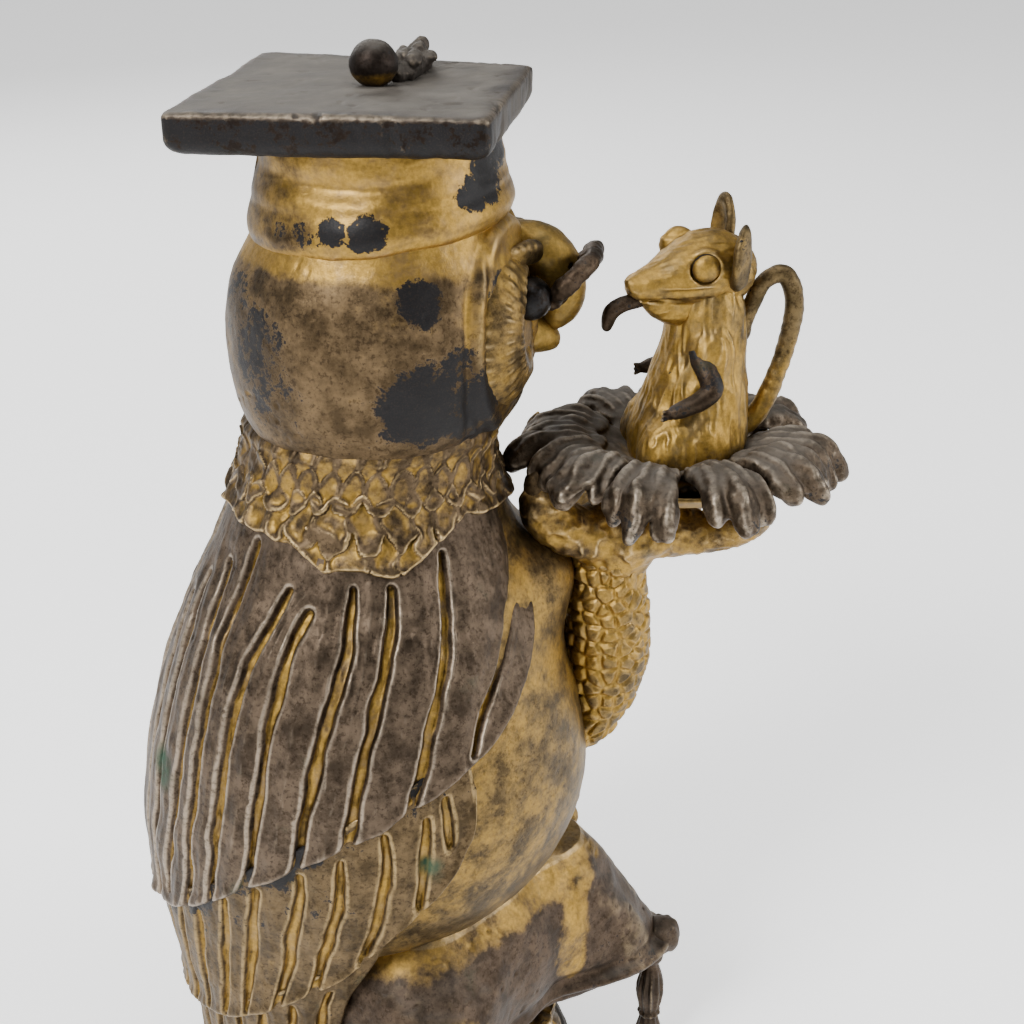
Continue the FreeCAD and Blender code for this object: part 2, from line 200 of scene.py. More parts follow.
def add_piece(name, nodes, verts, faces, material, rounds=8, slot="gilt_bronze", **masks):
    """One visible piece from a mesh in mm, with its relief and its masks as attributes."""
    mesh = bpy.data.meshes.new(name)
    mesh.vertices.add(len(verts))
    mesh.vertices.foreach_set("co", (verts * MM).astype(np.float32).ravel())
    sizes = np.concatenate([np.full(len(block), block.shape[1]) for block in faces])
    corners = np.concatenate([block.ravel() for block in faces])
    mesh.loops.add(len(corners))
    mesh.loops.foreach_set("vertex_index", corners.astype(np.int32))
    mesh.polygons.add(len(sizes))
    starts = np.concatenate([[0], np.cumsum(sizes)[:-1]])
    mesh.polygons.foreach_set("loop_start", starts.astype(np.int32))
    mesh.update(calc_edges=True)
    mesh.validate()
    mesh.shade_smooth()
    normals = vertex_normals(verts, faces)
    masks["relief"] = relief_of(verts, faces, normals, rounds)
    masks["hollow"] = relief_of(verts, faces, normals, rounds * 4)
    for key, values in masks.items():
        layer = mesh.attributes.new(key, "FLOAT", "POINT")
        values = np.broadcast_to(np.asarray(values, np.float32), (len(verts),))
        layer.data.foreach_set("value", np.ascontiguousarray(values))
    mesh.materials.append(material)
    piece = bpy.data.objects.new(name, mesh)
    bpy.context.scene.collection.objects.link(piece)
    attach(piece, "root")
    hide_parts(*nodes)
    return piece


def joined(*shapes):
    """Several (verts, faces) as one, with all faces in a list by their size."""
    all_verts, blocks, start = [], [], 0
    for verts, faces in shapes:
        all_verts.append(verts)
        blocks += [block + start for block in faces]
        start += len(verts)
    return np.vstack(all_verts), blocks


# ---------------------------------------------------------------- modelling clay
class Clay:
    """A signed distance field on a grid, in mm, built up from blended lumps."""

    def __init__(self, low, high, step):
        self.low, self.step = np.array(low, float), step
        counts = np.ceil((np.array(high, float) - self.low) / step).astype(int) + 1
        self.axes = [self.low[k] + step * np.arange(counts[k]) for k in range(3)]
        self.field = np.full(counts, 50.0, np.float32)

    def window(self, low, high, margin):
        slices = []
        for k in range(3):
            first = np.searchsorted(self.axes[k], low[k] - margin)
            last = np.searchsorted(self.axes[k], high[k] + margin)
            slices.append(slice(first, max(last, first + 1)))
        x, y, z = (self.axes[k][slices[k]].astype(np.float32) for k in range(3))
        return tuple(slices), x[:, None, None], y[None, :, None], z[None, None, :]

    def blend(self, slices, distance, radius):
        old = self.field[slices]
        near = np.maximum(radius - np.abs(old - distance), 0) / radius
        self.field[slices] = np.minimum(old, distance) - near * near * radius * 0.25

    def carve(self, slices, distance, radius):
        old = self.field[slices]
        near = np.maximum(radius - np.abs(old + distance), 0) / radius
        self.field[slices] = np.maximum(old, -distance) + near * near * radius * 0.25

    def bar(self, start, end, r1, r2, radius=1.0, cut=False):
        """A straight tapering bar with round ends."""
        a, b = np.array(start, float), np.array(end, float)
        reach = max(r1, r2)
        slices, x, y, z = self.window(np.minimum(a, b) - reach, np.maximum(a, b) + reach, 3 + radius)
        along = b - a
        t = ((x - a[0]) * along[0] + (y - a[1]) * along[1] + (z - a[2]) * along[2]) / max(along @ along, 1e-6)
        t = np.clip(t, 0, 1)
        distance = np.sqrt((x - a[0] - along[0] * t) ** 2 + (y - a[1] - along[1] * t) ** 2
                           + (z - a[2] - along[2] * t) ** 2) - (r1 + (r2 - r1) * t)
        (self.carve if cut else self.blend)(slices, distance, radius)

    def chain(self, points, radii, radius=1.0):
        """A bent tapering limb, smoothed between its points."""
        points, radii = np.array(points, float), np.array(radii, float)
        steps = np.linspace(0, len(points) - 1, (len(points) - 1) * 4 + 1)
        knots = np.arange(len(points))
        track = np.stack([curve(steps, knots, points[:, k]) for k in range(3)], 1) if len(points) > 2 else points
        sizes = curve(steps, knots, radii) if len(points) > 2 else radii
        for k in range(len(track) - 1):
            self.bar(track[k], track[k + 1], sizes[k], sizes[k + 1], radius)

    def egg(self, centre, radii, turn=0.0, tip=0.0, radius=1.0, cut=False):
        """An ellipsoid, tipped nose down about Y and then turned about Z, in degrees."""
        centre, radii = np.array(centre, float), np.array(radii, float)
        slices, x, y, z = self.window(centre - radii.max(), centre + radii.max(), 3 + radius)
        ct, st, cp, sp = (f(math.radians(v)) for v in (turn, tip) for f in (math.cos, math.sin))
        x, y, z = x - centre[0], y - centre[1], z - centre[2]
        u, v = x * ct + y * st, -x * st + y * ct
        u, w = u * cp - z * sp, u * sp + z * cp
        k0 = np.sqrt((u / radii[0]) ** 2 + (v / radii[1]) ** 2 + (w / radii[2]) ** 2)
        k1 = np.sqrt((u / radii[0] ** 2) ** 2 + (v / radii[1] ** 2) ** 2 + (w / radii[2] ** 2) ** 2)
        distance = k0 * (k0 - 1) / np.maximum(k1, 1e-6)
        (self.carve if cut else self.blend)(slices, distance, radius)

    def mesh(self):
        grid = vdb.FloatGrid(5.0)
        grid.copyFromArray(np.clip(self.field, -4, 4).astype(np.float32), tolerance=0.0)
        points, quads = grid.convertToQuads(isovalue=0.0)
        return points * self.step + self.low, [np.asarray(quads, np.int64)]


def cast_skin(verts, faces, seed, lump=0.25, grain=0.05, lump_size=7.0):
    """The slight unevenness of a hand-modelled wax and of the sand it was cast in."""
    height = lump * noise(verts, lump_size, seed, 2) + grain * noise(verts, 1.1, seed + 9, 2)
    return displace(verts, faces, height)


# ---------------------------------------------------------------- materials
GOLD = (0.37, 0.225, 0.05)
PALE_GOLD = (0.58, 0.41, 0.19)
BROWN = (0.10, 0.062, 0.034)
UMBER = (0.018, 0.012, 0.008)
BLACK = (0.004, 0.0035, 0.004)
DUST_AND_HIGHLIGHT = (0.12, 0.108, 0.092)
VERDIGRIS = (0.012, 0.06, 0.036)


class Tree:
    """A few short ways to wire shader nodes."""

    def __init__(self, material):
        material.use_nodes = True
        self.nodes, self.links = material.node_tree.nodes, material.node_tree.links
        self.shader = self.nodes["Principled BSDF"]
        self.place = self.new("ShaderNodeTexCoord").outputs["Object"]

    def new(self, kind, **settings):
        node = self.nodes.new(kind)
        for key, value in settings.items():
            setattr(node, key, value)
        return node

    def feed(self, socket, value):
        if isinstance(value, bpy.types.NodeSocket):
            self.links.new(value, socket)
        else:
            socket.default_value = (*value, 1.0) if isinstance(value, tuple) and len(value) == 3 and \
                socket.type == "RGBA" else value

    def math(self, operation, first, second=0.0, clamp=False):
        node = self.new("ShaderNodeMath", operation=operation, use_clamp=clamp)
        self.feed(node.inputs[0], first)
        self.feed(node.inputs[1], second)
        return node.outputs[0]

    def span(self, value, low, high, to_low=0.0, to_high=1.0):
        node = self.new("ShaderNodeMapRange", interpolation_type="SMOOTHSTEP")
        for key, item in (("Value", value), ("From Min", low), ("From Max", high), ("To Min", to_low),
                          ("To Max", to_high)):
            self.feed(node.inputs[key], item)
        return node.outputs[0]

    def mix(self, share, first, second):
        node = self.new("ShaderNodeMix", data_type="RGBA")
        self.feed(node.inputs["Factor"], share)
        self.feed(node.inputs[6], first)
        self.feed(node.inputs[7], second)
        return node.outputs[2]

    def blend(self, share, first, second):
        node = self.new("ShaderNodeMix", data_type="FLOAT")
        self.feed(node.inputs["Factor"], share)
        self.feed(node.inputs[2], first)
        self.feed(node.inputs[3], second)
        return node.outputs[0]

    def noise(self, size_mm, detail=4.0, rough=0.6, stretch=(1, 1, 1), offset=0.0):
        mapping = self.new("ShaderNodeMapping")
        self.links.new(self.place, mapping.inputs["Vector"])
        mapping.inputs["Scale"].default_value = [1000.0 / size_mm / s for s in stretch]
        mapping.inputs["Location"].default_value = (offset, offset * 0.7, offset * 1.3)
        node = self.new("ShaderNodeTexNoise")
        self.links.new(mapping.outputs[0], node.inputs["Vector"])
        node.inputs["Scale"].default_value = 1.0
        node.inputs["Detail"].default_value = detail
        node.inputs["Roughness"].default_value = rough
        return node.outputs["Fac"]

    def attribute(self, name):
        return self.new("ShaderNodeAttribute", attribute_name=name).outputs["Fac"]


def patina(name, gilt=0.5, ground=BROWN, edge=PALE_GOLD, edge_share=0.8, dust=0.25, black=0.3, seed=0.0,
           shine=0.0, verdigris=0.12):
    """Old gilt bronze. Gilding stays in the hollows and where the "gold" mask says, edges are rubbed bright (wear that
    is partly a painted edge highlight), tight hollows are darker, black lacquer stays in ragged patches and where the
    "dark" mask says (partly a painted shadow under the wing edge), and dust settles on what faces up, with a painted
    highlight where the dust mask says."""
    material = bpy.data.materials.new(name)
    tree = Tree(material)
    relief, hollow = tree.attribute("relief"), tree.attribute("hollow")
    broad = tree.noise(26, 6, 0.65, offset=seed)
    middle = tree.noise(5.5, 6, 0.7, offset=seed + 3)
    fine = tree.noise(0.9, 5, 0.7, offset=seed + 5)
    grit = tree.noise(0.28, 3, 0.7, offset=seed + 8)
    # gilding
    sunk = tree.span(hollow, -0.55, 0.1, 0.55, 0.0)
    gold_at = tree.math("ADD", tree.math("ADD", tree.attribute("gold"), sunk), gilt - 0.5)
    wander = tree.math("ADD", tree.math("MULTIPLY", tree.math("SUBTRACT", broad, 0.5), 1.3),
                       tree.math("MULTIPLY", tree.math("SUBTRACT", middle, 0.5), 1.1))
    gold_at = tree.math("ADD", gold_at, wander)
    gold_share = tree.span(gold_at, 0.12, 0.62)
    tone = tree.mix(tree.span(fine, 0.3, 0.7), tuple(0.6 * c for c in GOLD), GOLD)
    tone = tree.mix(tree.span(middle, 0.3, 0.55, 0.7, 0.0), tone, tuple(1.6 * c for c in ground))
    worn = tree.mix(tree.span(middle, 0.34, 0.68), tuple(0.38 * c for c in ground), tuple(1.2 * c for c in ground))
    worn = tree.mix(tree.span(fine, 0.36, 0.5, 0.6, 0.0), worn, UMBER)
    colour = tree.mix(gold_share, worn, tone)
    # rubbed edges: worn bright metal on the ridges, partly a painted edge highlight
    rub_and_highlight = tree.math("MULTIPLY", tree.span(relief, 0.03, 0.22), tree.span(fine, 0.25, 0.6, 0.25, 1.0))
    rub_and_highlight = tree.math("MULTIPLY", rub_and_highlight, edge_share)
    colour = tree.mix(rub_and_highlight, colour, edge)
    # darker in tight hollows
    hollow_dark = tree.math("MULTIPLY", tree.span(relief, -0.24, -0.05, 1.0, 0.0), tree.span(middle, 0.35, 0.65, 0.15, 0.9))
    colour = tree.mix(hollow_dark, colour, UMBER)
    # black patches with ragged edges, and where the "dark" mask says, which in places is a painted shadow
    ragged = tree.math("ADD", tree.math("MULTIPLY", tree.math("SUBTRACT", middle, 0.5), 2.2),
                       tree.math("MULTIPLY", tree.math("SUBTRACT", fine, 0.5), 1.4))
    dark_at = tree.math("ADD", tree.math("ADD", tree.attribute("dark"), black - 0.75), ragged)
    dark_at = tree.math("ADD", dark_at, tree.math("MULTIPLY", tree.math("SUBTRACT", broad, 0.5), 0.8))
    dark_share = tree.span(dark_at, 0.06, 0.2)
    colour = tree.mix(dark_share, colour, tree.mix(tree.span(grit, 0.45, 0.8), BLACK, UMBER))
    tree.shader.inputs["Specular IOR Level"].default_value = 0.2
    # dust, with a painted highlight where the dust mask says, and a little green corrosion
    up = tree.new("ShaderNodeSeparateXYZ")
    tree.links.new(tree.new("ShaderNodeNewGeometry").outputs["Normal"], up.inputs[0])
    dust_and_highlight_share = tree.math("MULTIPLY", tree.span(up.outputs[2], 0.35, 1.0), tree.span(middle, 0.25, 0.75, 0.4, 1.0))
    dust_and_highlight_share = tree.math("ADD", tree.math("MULTIPLY", dust_and_highlight_share, dust), tree.attribute("dusty"), clamp=True)
    colour = tree.mix(dust_and_highlight_share, colour, DUST_AND_HIGHLIGHT)
    green_at = tree.math("MULTIPLY", tree.span(tree.noise(9, 5, 0.6, offset=seed + 21), 0.62, 0.74), verdigris)
    green_at = tree.math("ADD", green_at, tree.math("MULTIPLY", tree.attribute("green"),
                                                    tree.span(middle, 0.3, 0.6)), clamp=True)
    colour = tree.mix(green_at, colour, VERDIGRIS)
    tree.links.new(colour, tree.shader.inputs["Base Color"])
    cover = tree.math("ADD", tree.math("MULTIPLY", dust_and_highlight_share, 0.9), green_at, clamp=True)
    metal = tree.blend(dark_share, 1.0, 0.08)
    metal = tree.math("MULTIPLY", metal, tree.math("SUBTRACT", 1.0, cover))
    tree.links.new(metal, tree.shader.inputs["Metallic"])
    rough = tree.span(middle, 0.2, 0.8, 0.38 - shine, 0.56 - shine)
    rough = tree.blend(gold_share, tree.math("ADD", rough, 0.06), rough)
    rough = tree.blend(rub_and_highlight, rough, 0.33)
    rough = tree.blend(dark_share, rough, 0.50 - shine)
    rough = tree.blend(cover, rough, 0.85)
    tree.links.new(rough, tree.shader.inputs["Roughness"])
    # casting grain
    grain = tree.math("ADD", tree.math("MULTIPLY", fine, 0.6), tree.math("MULTIPLY", grit, 0.25))
    grain = tree.math("SUBTRACT", grain, tree.math("MULTIPLY", dark_share, 0.12))
    bump = tree.new("ShaderNodeBump")
    bump.inputs["Strength"].default_value = 0.55
    bump.inputs["Distance"].default_value = 0.00022
    tree.links.new(grain, bump.inputs["Height"])
    tree.links.new(bump.outputs[0], tree.shader.inputs["Normal"])
    return material


def steel_material():
    material = bpy.data.materials.new("zinc_steel")
    tree = Tree(material)
    fine, broad = tree.noise(0.7, 4), tree.noise(4, 4, offset=4)
    tree.links.new(tree.mix(tree.span(broad, 0.35, 0.7), (0.42, 0.43, 0.44), (0.26, 0.25, 0.22)),
                   tree.shader.inputs["Base Color"])
    tree.shader.inputs["Metallic"].default_value = 1.0
    tree.links.new(tree.span(fine, 0.2, 0.8, 0.3, 0.5), tree.shader.inputs["Roughness"])
    return material


def felt_material():
    material = bpy.data.materials.new("green_felt")
    tree = Tree(material)
    fibre, broad = tree.noise(0.35, 6, 0.75, stretch=(1, 3, 1)), tree.noise(9, 4, offset=2)
    colour = tree.mix(tree.span(fibre, 0.3, 0.7), (0.012, 0.04, 0.02), (0.03, 0.085, 0.045))
    tree.links.new(tree.mix(tree.span(broad, 0.4, 0.8, 0.0, 0.4), colour, (0.06, 0.075, 0.05)),
                   tree.shader.inputs["Base Color"])
    tree.shader.inputs["Roughness"].default_value = 0.95
    tree.shader.inputs["Sheen Weight"].default_value = 0.4
    bump = tree.new("ShaderNodeBump")
    bump.inputs["Strength"].default_value = 0.8
    bump.inputs["Distance"].default_value = 0.0003
    tree.links.new(fibre, bump.inputs["Height"])
    tree.links.new(bump.outputs[0], tree.shader.inputs["Normal"])
    return material


# ---------------------------------------------------------------- feathered torso
# height, rearmost x, foremost x, half width
TORSO = [
    (58, -45, 20, 24), (66, -47, 32, 34), (76, -47.6, 40, 40), (88, -47.6, 45, 43), (100, -46, 46, 44),
    (112, -43.5, 44, 43.5), (125, -39.5, 40, 41), (138, -34.3, 36, 36.5), (150, -28, 31, 30),
    (160, -23.5, 28, 25.5), (171, -19.2, 25, 22),
]
# the same with the tail coat below it
COAT = [(17, -43.5, 14, 27), (30, -44, 16, 31), (45, -44.8, 18, 34), (60, -46, 24, 37.5),
        (72, -47.4, 36, 39.5)] + TORSO[3:]


def section(z, table):
    table = np.array(table, float)
    back, front, half = (curve(z, table[:, 0], table[:, k]) for k in (1, 2, 3))
    return (back + front) / 2, (front - back) / 2, half


def on_body(theta, z, table, offset=0.0, front_extra=0.0):
    """Points of a body of level elliptical sections, moved out along its normal. theta is in degrees, 0 in front."""
    theta, z = np.broadcast_arrays(np.radians(theta), np.asarray(z, float))

    def skin(turn, height):
        middle, a, b = section(height, table)
        a, middle = a + front_extra / 2, middle + front_extra / 2
        return np.stack([middle + a * np.cos(turn), b * np.sin(turn), height], -1)

    base = skin(theta, z)
    across = skin(theta + 0.01, z) - skin(theta - 0.01, z)
    upward = skin(theta, z + 0.2) - skin(theta, z - 0.2)
    normal = np.cross(across, upward)
    normal /= np.maximum(np.linalg.norm(normal, axis=-1, keepdims=True), 1e-9)
    return base + normal * np.asarray(offset)[..., None]


def distance_to(points, track):
    """Distance from each point to a bent line, and how far along the line its nearest place is, 0..1."""
    best, along = np.full(len(points), 1e3), np.zeros(len(points))
    for k in range(len(track) - 1):
        a, way = track[k], track[k + 1] - track[k]
        t = np.clip(((points - a) @ way) / (way @ way), 0, 1)
        away = np.linalg.norm(points - a - t[:, None] * way, axis=1)
        closer = away < best
        best[closer] = away[closer]
        along[closer] = (k + t[closer]) / (len(track) - 1)
    return best, along


def groove_map(points, tracks, table, offset, seed):
    """For each point: distance to the nearest groove, divided by the groove's own half width there."""
    wobble = np.stack([noise(points, 9, seed + k, 2) for k in range(3)], 1) * 0.7
    width = 1.0 + 0.35 * noise(points, 6, seed + 5, 2)
    nearest = np.full(len(points), 30.0)
    for angles_heights, half_width in tracks:
        knots = np.arange(len(angles_heights))
        steps = np.linspace(0, len(knots) - 1, (len(knots) - 1) * 4 + 1)
        theta = curve(steps, knots, [p[0] for p in angles_heights])
        z = curve(steps, knots, [p[1] for p in angles_heights])
        away, along = distance_to(points + wobble, on_body(theta, z, table, offset))
        taper = 0.45 + 0.55 * np.sin(np.pi * np.clip(along * 0.92 + 0.06, 0, 1)) ** 0.5
        nearest = np.minimum(nearest, away / (half_width * taper * width))
    return nearest


def feather_layer(theta, z_low, z_high, rows, table, tracks, offset, seed, depth=1.5, crown=0.7, lap=1.4,
                  thickness=3.3, round_sides=True, notch=0.5):
    """A shell of feathers between a scalloped lower edge and a hidden top edge, cut by grooves.
    theta is one angle for each column, and z_low and z_high are the heights of the edges there."""
    share = np.linspace(0, 1, rows)[:, None] ** 1.05
    lower = on_body(theta, z_low, table, offset)
    cut = groove_map(lower, tracks, table, offset, seed)
    z_low = z_low + notch * bell(cut, 0, 1.3) - 0.25 * notch + 0.35 * noise(lower, 5, seed + 2, 2)
    z = z_low[None, :] + (z_high - z_low)[None, :] * share
    angle = np.broadcast_to(theta[None, :], z.shape)
    base = on_body(angle, z, table, offset).reshape(-1, 3)
    grooves = groove_map(base, tracks, table, offset, seed)
    inside = ramp(1.25 - grooves, 0.0, 0.75)
    from_edge = (z - z_low[None, :]).ravel()
    bed = 1.0 - 0.15 * noise(base, 3.0, seed + 31, 2) * inside
    height = -depth * inside * bed + 0.12 * bell(grooves, 1.65, 0.42)
    height += crown * (ramp(grooves, 1.2, 5.0) - 1) * 0.8
    height += 0.38 * noise(base, 9, seed + 11, 2) + 0.10 * noise(base * [1, 1, 0.35], 1.6, seed + 12, 2)
    scratch_depth = 0.07 + 0.05 * ramp(noise(base, 8, seed + 15, 1), -0.1, 0.5)
    height += scratch_depth * noise(base * [1, 1, 0.12], 0.8, seed + 13, 2)
    height -= 0.16 * ramp(noise(base, 1.5, seed + 14, 1), 0.5, 0.75) * (1 - inside)
    height += 0.5 * bell(from_edge, 1.8, 1.5)
    rim = np.clip(from_edge / lap, 0, 1)
    if round_sides:
        spread = np.linalg.norm(np.diff(lower, axis=0), axis=1)
        run = np.concatenate([[0], np.cumsum(spread)])
        side = np.minimum(run, run[-1] - run)
        rim = rim * np.clip(np.broadcast_to(side[None, :], z.shape).ravel() / lap, 0, 1)
    rounded = np.sqrt(np.maximum(1 - (1 - rim) ** 2, 0))
    inner = on_body(angle.ravel(), z.ravel(), table, offset - thickness)
    outer = on_body(angle.ravel(), z.ravel(), table, offset + height)
    outer = inner + (outer - inner) * (0.12 + 0.88 * rounded[:, None])
    verts, faces = closed_patch(outer.reshape(*z.shape, 3), inner.reshape(*z.shape, 3))
    none = np.zeros(len(inner))
    gold = np.concatenate([0.6 * inside + 0.3 * bell(from_edge, 0, 1.2), none])
    return verts, faces, gold, np.concatenate([inside, none])


def patches(points, spots):
    """A mask with soft spots at (x, y, z, radius, strength)."""
    total = np.zeros(len(points))
    for x, y, z, radius, strength in spots:
        away = np.linalg.norm(points - np.array([x, y, z]), axis=1)
        total = np.maximum(total, strength * ramp(radius * 1.5 - away, 0, radius))
    return total


WING_EDGE = [(-19, 148), (-25, 141), (-30, 136), (-41, 128), (-54, 122), (-67, 117), (-86, 110), (-102, 103),
             (-121, 93), (-135, 84), (-150, 76.5), (-163, 72.5), (-180, 71)]
WING_GROOVES = [
    [(-20, 157), (-28, 148), (-45, 137), (-58, 127), (-64, 120)],
    [(-63, 155), (-67, 141), (-72, 132), (-78, 120), (-85, 108)],
    [(-84, 151), (-87, 140), (-91, 129), (-95, 118), (-99, 101)],
    [(-98, 151), (-100, 140), (-104, 129), (-108, 115), (-111, 95)],
    [(-113, 147), (-118, 139), (-120, 127), (-121, 113), (-124, 89)],
    [(-122, 150), (-129, 140), (-132, 130), (-133, 110), (-134, 82)],
    [(-142, 156), (-144, 142), (-143, 128), (-142, 107), (-143, 78)],
    [(-155, 150), (-152, 136), (-150, 119), (-150, 102), (-152, 80)],
    [(-166, 146), (-163, 132), (-161, 112), (-160, 91), (-161, 74)],
    [(-173, 140), (-171, 125), (-170, 105), (-170, 90), (-171, 72)],
]
MANTLE_EDGE = [(-64, 117), (-66, 105), (-69, 98.5), (-75, 90), (-83, 81), (-91, 70), (-103, 62), (-118, 55),
               (-140, 49), (-160, 46), (-180, 45)]
MANTLE_GROOVES = [(-73, 112, 101), (-79, 109, 87), (-89, 106, 74), (-100, 101, 63), (-110, 97, 59), (-121, 91, 56),
                  (-130, 86, 53), (-140, 80, 51), (-150, 76, 49), (-160, 73, 47), (-170, 71, 47)]
TAIL_GROOVES = [(-92, 62, 28), (-104, 58, 22), (-116, 54, 20), (-128, 51, 19), (-140, 48, 18), (-152, 46, 18),
                (-164, 45, 18), (-175, 45, 18)]


def wing(side):
    """side is -1 for the owl's right wing and 1 for its left."""
    theta = -np.concatenate([np.linspace(18.5, 24, 22), np.linspace(24, 179.4, 330)[1:]])
    edge = np.array(WING_EDGE[::-1], float)
    z_low = curve(theta, edge[:, 0], edge[:, 1])
    tracks = [(track, 1.25 if k else 1.1) for k, track in enumerate(WING_GROOVES)]
    verts, faces, gold, inside = feather_layer(theta, z_low, np.full(len(theta), 161.0), 215, TORSO, tracks, 0.0,
                                               100 if side < 0 else 140)
    if side > 0:
        verts = verts * [1, -1, 1]
        faces = [block[:, ::-1] for block in faces]
    flank = bell(verts[:, 1] * -side, 30, 40)
    brown = 0.55 * ramp(noise(verts, 14, 7, 2), -0.2, 0.7) * (1 - inside)
    green = patches(verts, [(-41, 16 * side, 108, 4, 0.9), (-24, 34 * side, 90, 4, 0.7), (9, 42 * side, 98, 4, 0.8)])
    name = "right_wing" if side < 0 else "left_wing"
    upper = ramp(verts[:, 2], 138, 160)
    dark = 0.1 * flank * (1 - inside) * ramp(verts[:, 0], 10, -30)
    add_piece(name + "_cast", [name], verts, faces, WING_PATINA, slot="worn_bronze",
              gold=gold + 0.35 * upper * (1 - inside) - 0.3 * brown, dark=dark, green=green, dusty=0.0)


def around_the_back(theta_front):
    """Angles right round the back, from theta_front to its mirror image, and the right side's angle of each."""
    theta = np.linspace(-theta_front, -360 + theta_front, 560)
    return theta, -np.where(-theta > 180, 360 + theta, -theta)


def both_sides(grooves, half_width):
    """Short upright grooves on the right side and their mirror images, as angles that run round the back."""
    tracks = []
    for theta, top, bottom in grooves:
        for turn in (theta, -360 - theta):
            tracks.append(([(turn, top), (turn, (top + bottom) / 2), (turn, bottom)], half_width))
    return tracks


def mantle():
    theta, right = around_the_back(64.5)
    edge, wing_edge = np.array(MANTLE_EDGE[::-1], float), np.array(WING_EDGE[::-1], float)
    z_low = curve(right, edge[:, 0], edge[:, 1])
    z_high = curve(right, wing_edge[:, 0], wing_edge[:, 1]) + 5
    verts, faces, gold, inside = feather_layer(theta, z_low, z_high, 120, COAT, both_sides(MANTLE_GROOVES, 1.15), -1.5,
                                               210, depth=1.2, crown=0.35, notch=0.6)
    count = len(verts) // 2
    under = np.tile((curve(right, wing_edge[:, 0], wing_edge[:, 1])[None, :] - verts[:count, 2].reshape(120, -1))
                    .ravel(), 2)
    blocks = ramp(noise(verts * [1, 1, 0.7], 7, 3, 2), -0.05, 0.25) * ramp(26 - under, 0, 14) * (1 - inside)
    # the "dark" mask here is a painted shadow up to 6 mm under the wing's lower edge, plus dark blocks between the
    # grooves
    add_piece("mantle_cast", ["mantle"], verts, faces, MANTLE_PATINA, gold=gold * 0.7,
              dark=0.42 * ramp(6 - under, 0, 6) * (1 - 0.5 * inside) + 0.42 * blocks,
              green=patches(verts, [(9, -40, 98, 2.2, 0.8), (-24, 34, 70, 3, 0.8)]))


def tail():
    theta, right = around_the_back(82)
    edge = np.array(MANTLE_EDGE[::-1], float)
    z_low = 20 - 3 * bell(right, -180, 60) + 24 * bell(right, -82, 16)
    z_high = curve(right, edge[:, 0], edge[:, 1]) + 5
    verts, faces, gold, _ = feather_layer(theta, z_low, z_high, 110, COAT, both_sides(TAIL_GROOVES, 1.15), -3.0,
                                               260, depth=1.3, crown=0.6, notch=1.2, thickness=3.8)
    add_piece("tail_feathers_cast", ["tail_feathers"], verts, faces, MANTLE_PATINA, gold=gold * 0.7,
              dark=0.25 * ramp(noise(verts, 7, 5, 2), -0.1, 0.6))


def body():
    """The smooth breast and belly, closed under the ruff and on the cushion."""
    z = np.concatenate([np.linspace(61, 70, 16), np.linspace(70, 168, 190)[1:]])[:, None]
    theta = np.linspace(-180, 180, 460, endpoint=False)[None, :]
    closing = 1 - 0.55 * (1 - ramp(z, 60, 67))
    points = on_body(theta, z, TORSO, -3.6, front_extra=3.6)
    centre = np.array([6.0, 0, 0])
    points[..., :2] = centre[:2] + (points[..., :2] - centre[:2]) * closing[..., None]
    verts, faces = closed_tube(points)
    height = 0.45 * noise(verts, 17, 301, 2) + 0.14 * noise(verts, 6, 302, 2) + 0.06 * noise(verts, 1.5, 303, 2)
    front = bell(verts[:, 1], 0, 2.2) * ramp(verts[:, 2], 75, 100) * ramp(verts[:, 0], 20, 40)
    height += 7.0 * bell(verts[:, 2], 138, 9) * bell(verts[:, 1], -1, 13) * ramp(verts[:, 0], 15, 28)
    verts = displace(verts, faces, height - 0.3 * front)
    near_edge = ramp(np.abs(verts[:, 1]), 24, 34) * ramp(150 - verts[:, 2], 0, 20)
    add_piece("owl_body_cast", ["owl_body"], verts, faces, BELLY_PATINA, gold=0.25,
              dark=0.15 * near_edge + patches(verts, [(41, -12, 104, 5, 0.35), (38, -20, 83, 6, 0.4)]))


def scale_lattice(across, down, width, length, pointed=True):
    """Staggered overlapping scales: height and rim of the scale on top at each place, in its own units."""
    height, rim = np.full(len(across), -1.0), np.zeros(len(across))
    row = np.floor(down / length)
    for row_step in (-1, 0, 1):
        this_row = row + row_step
        shift = 0.5 * np.mod(this_row, 2)
        column = np.round(across / width - shift)
        for column_step in (-1, 0, 1):
            dx = (across - (column + column_step + shift) * width) / (0.56 * width)
            dy = (down - this_row * length) / length
            reach = np.abs(dx) ** (1.35 if pointed else 2.0) + np.abs((dy - 0.35) / 1.0) ** 2.0
            here = np.where(reach < 1, 0.25 + 0.75 * np.clip(dy, 0, 1.4), -1.0)
            better = here > height
            height = np.where(better, here, height)
            rim = np.where(better, np.clip(reach, 0, 1), rim)
    return np.maximum(height, 0), rim


# height, rearmost x, foremost x, half width under the ruff, which laps over the foot of the head
RUFF_BODY = [(146, -30.3, 32.6, 32.3), (150, -28, 31, 30), (155, -25.6, 29.5, 27.7), (160, -23.5, 28, 25.5),
             (166, -21.2, 26.6, 23.6), (171, -19.6, 26.2, 23.0), (175, -19.6, 28.6, 24.0), (178, -20.4, 30.4, 25.0)]
RUFF_EDGE = [(-168, 157.4), (-147, 157.5), (-124, 157), (-110, 153.6), (-99, 154), (-81.5, 152.5), (-69, 156),
             (-47.5, 159), (-28, 157), (0, 156)]


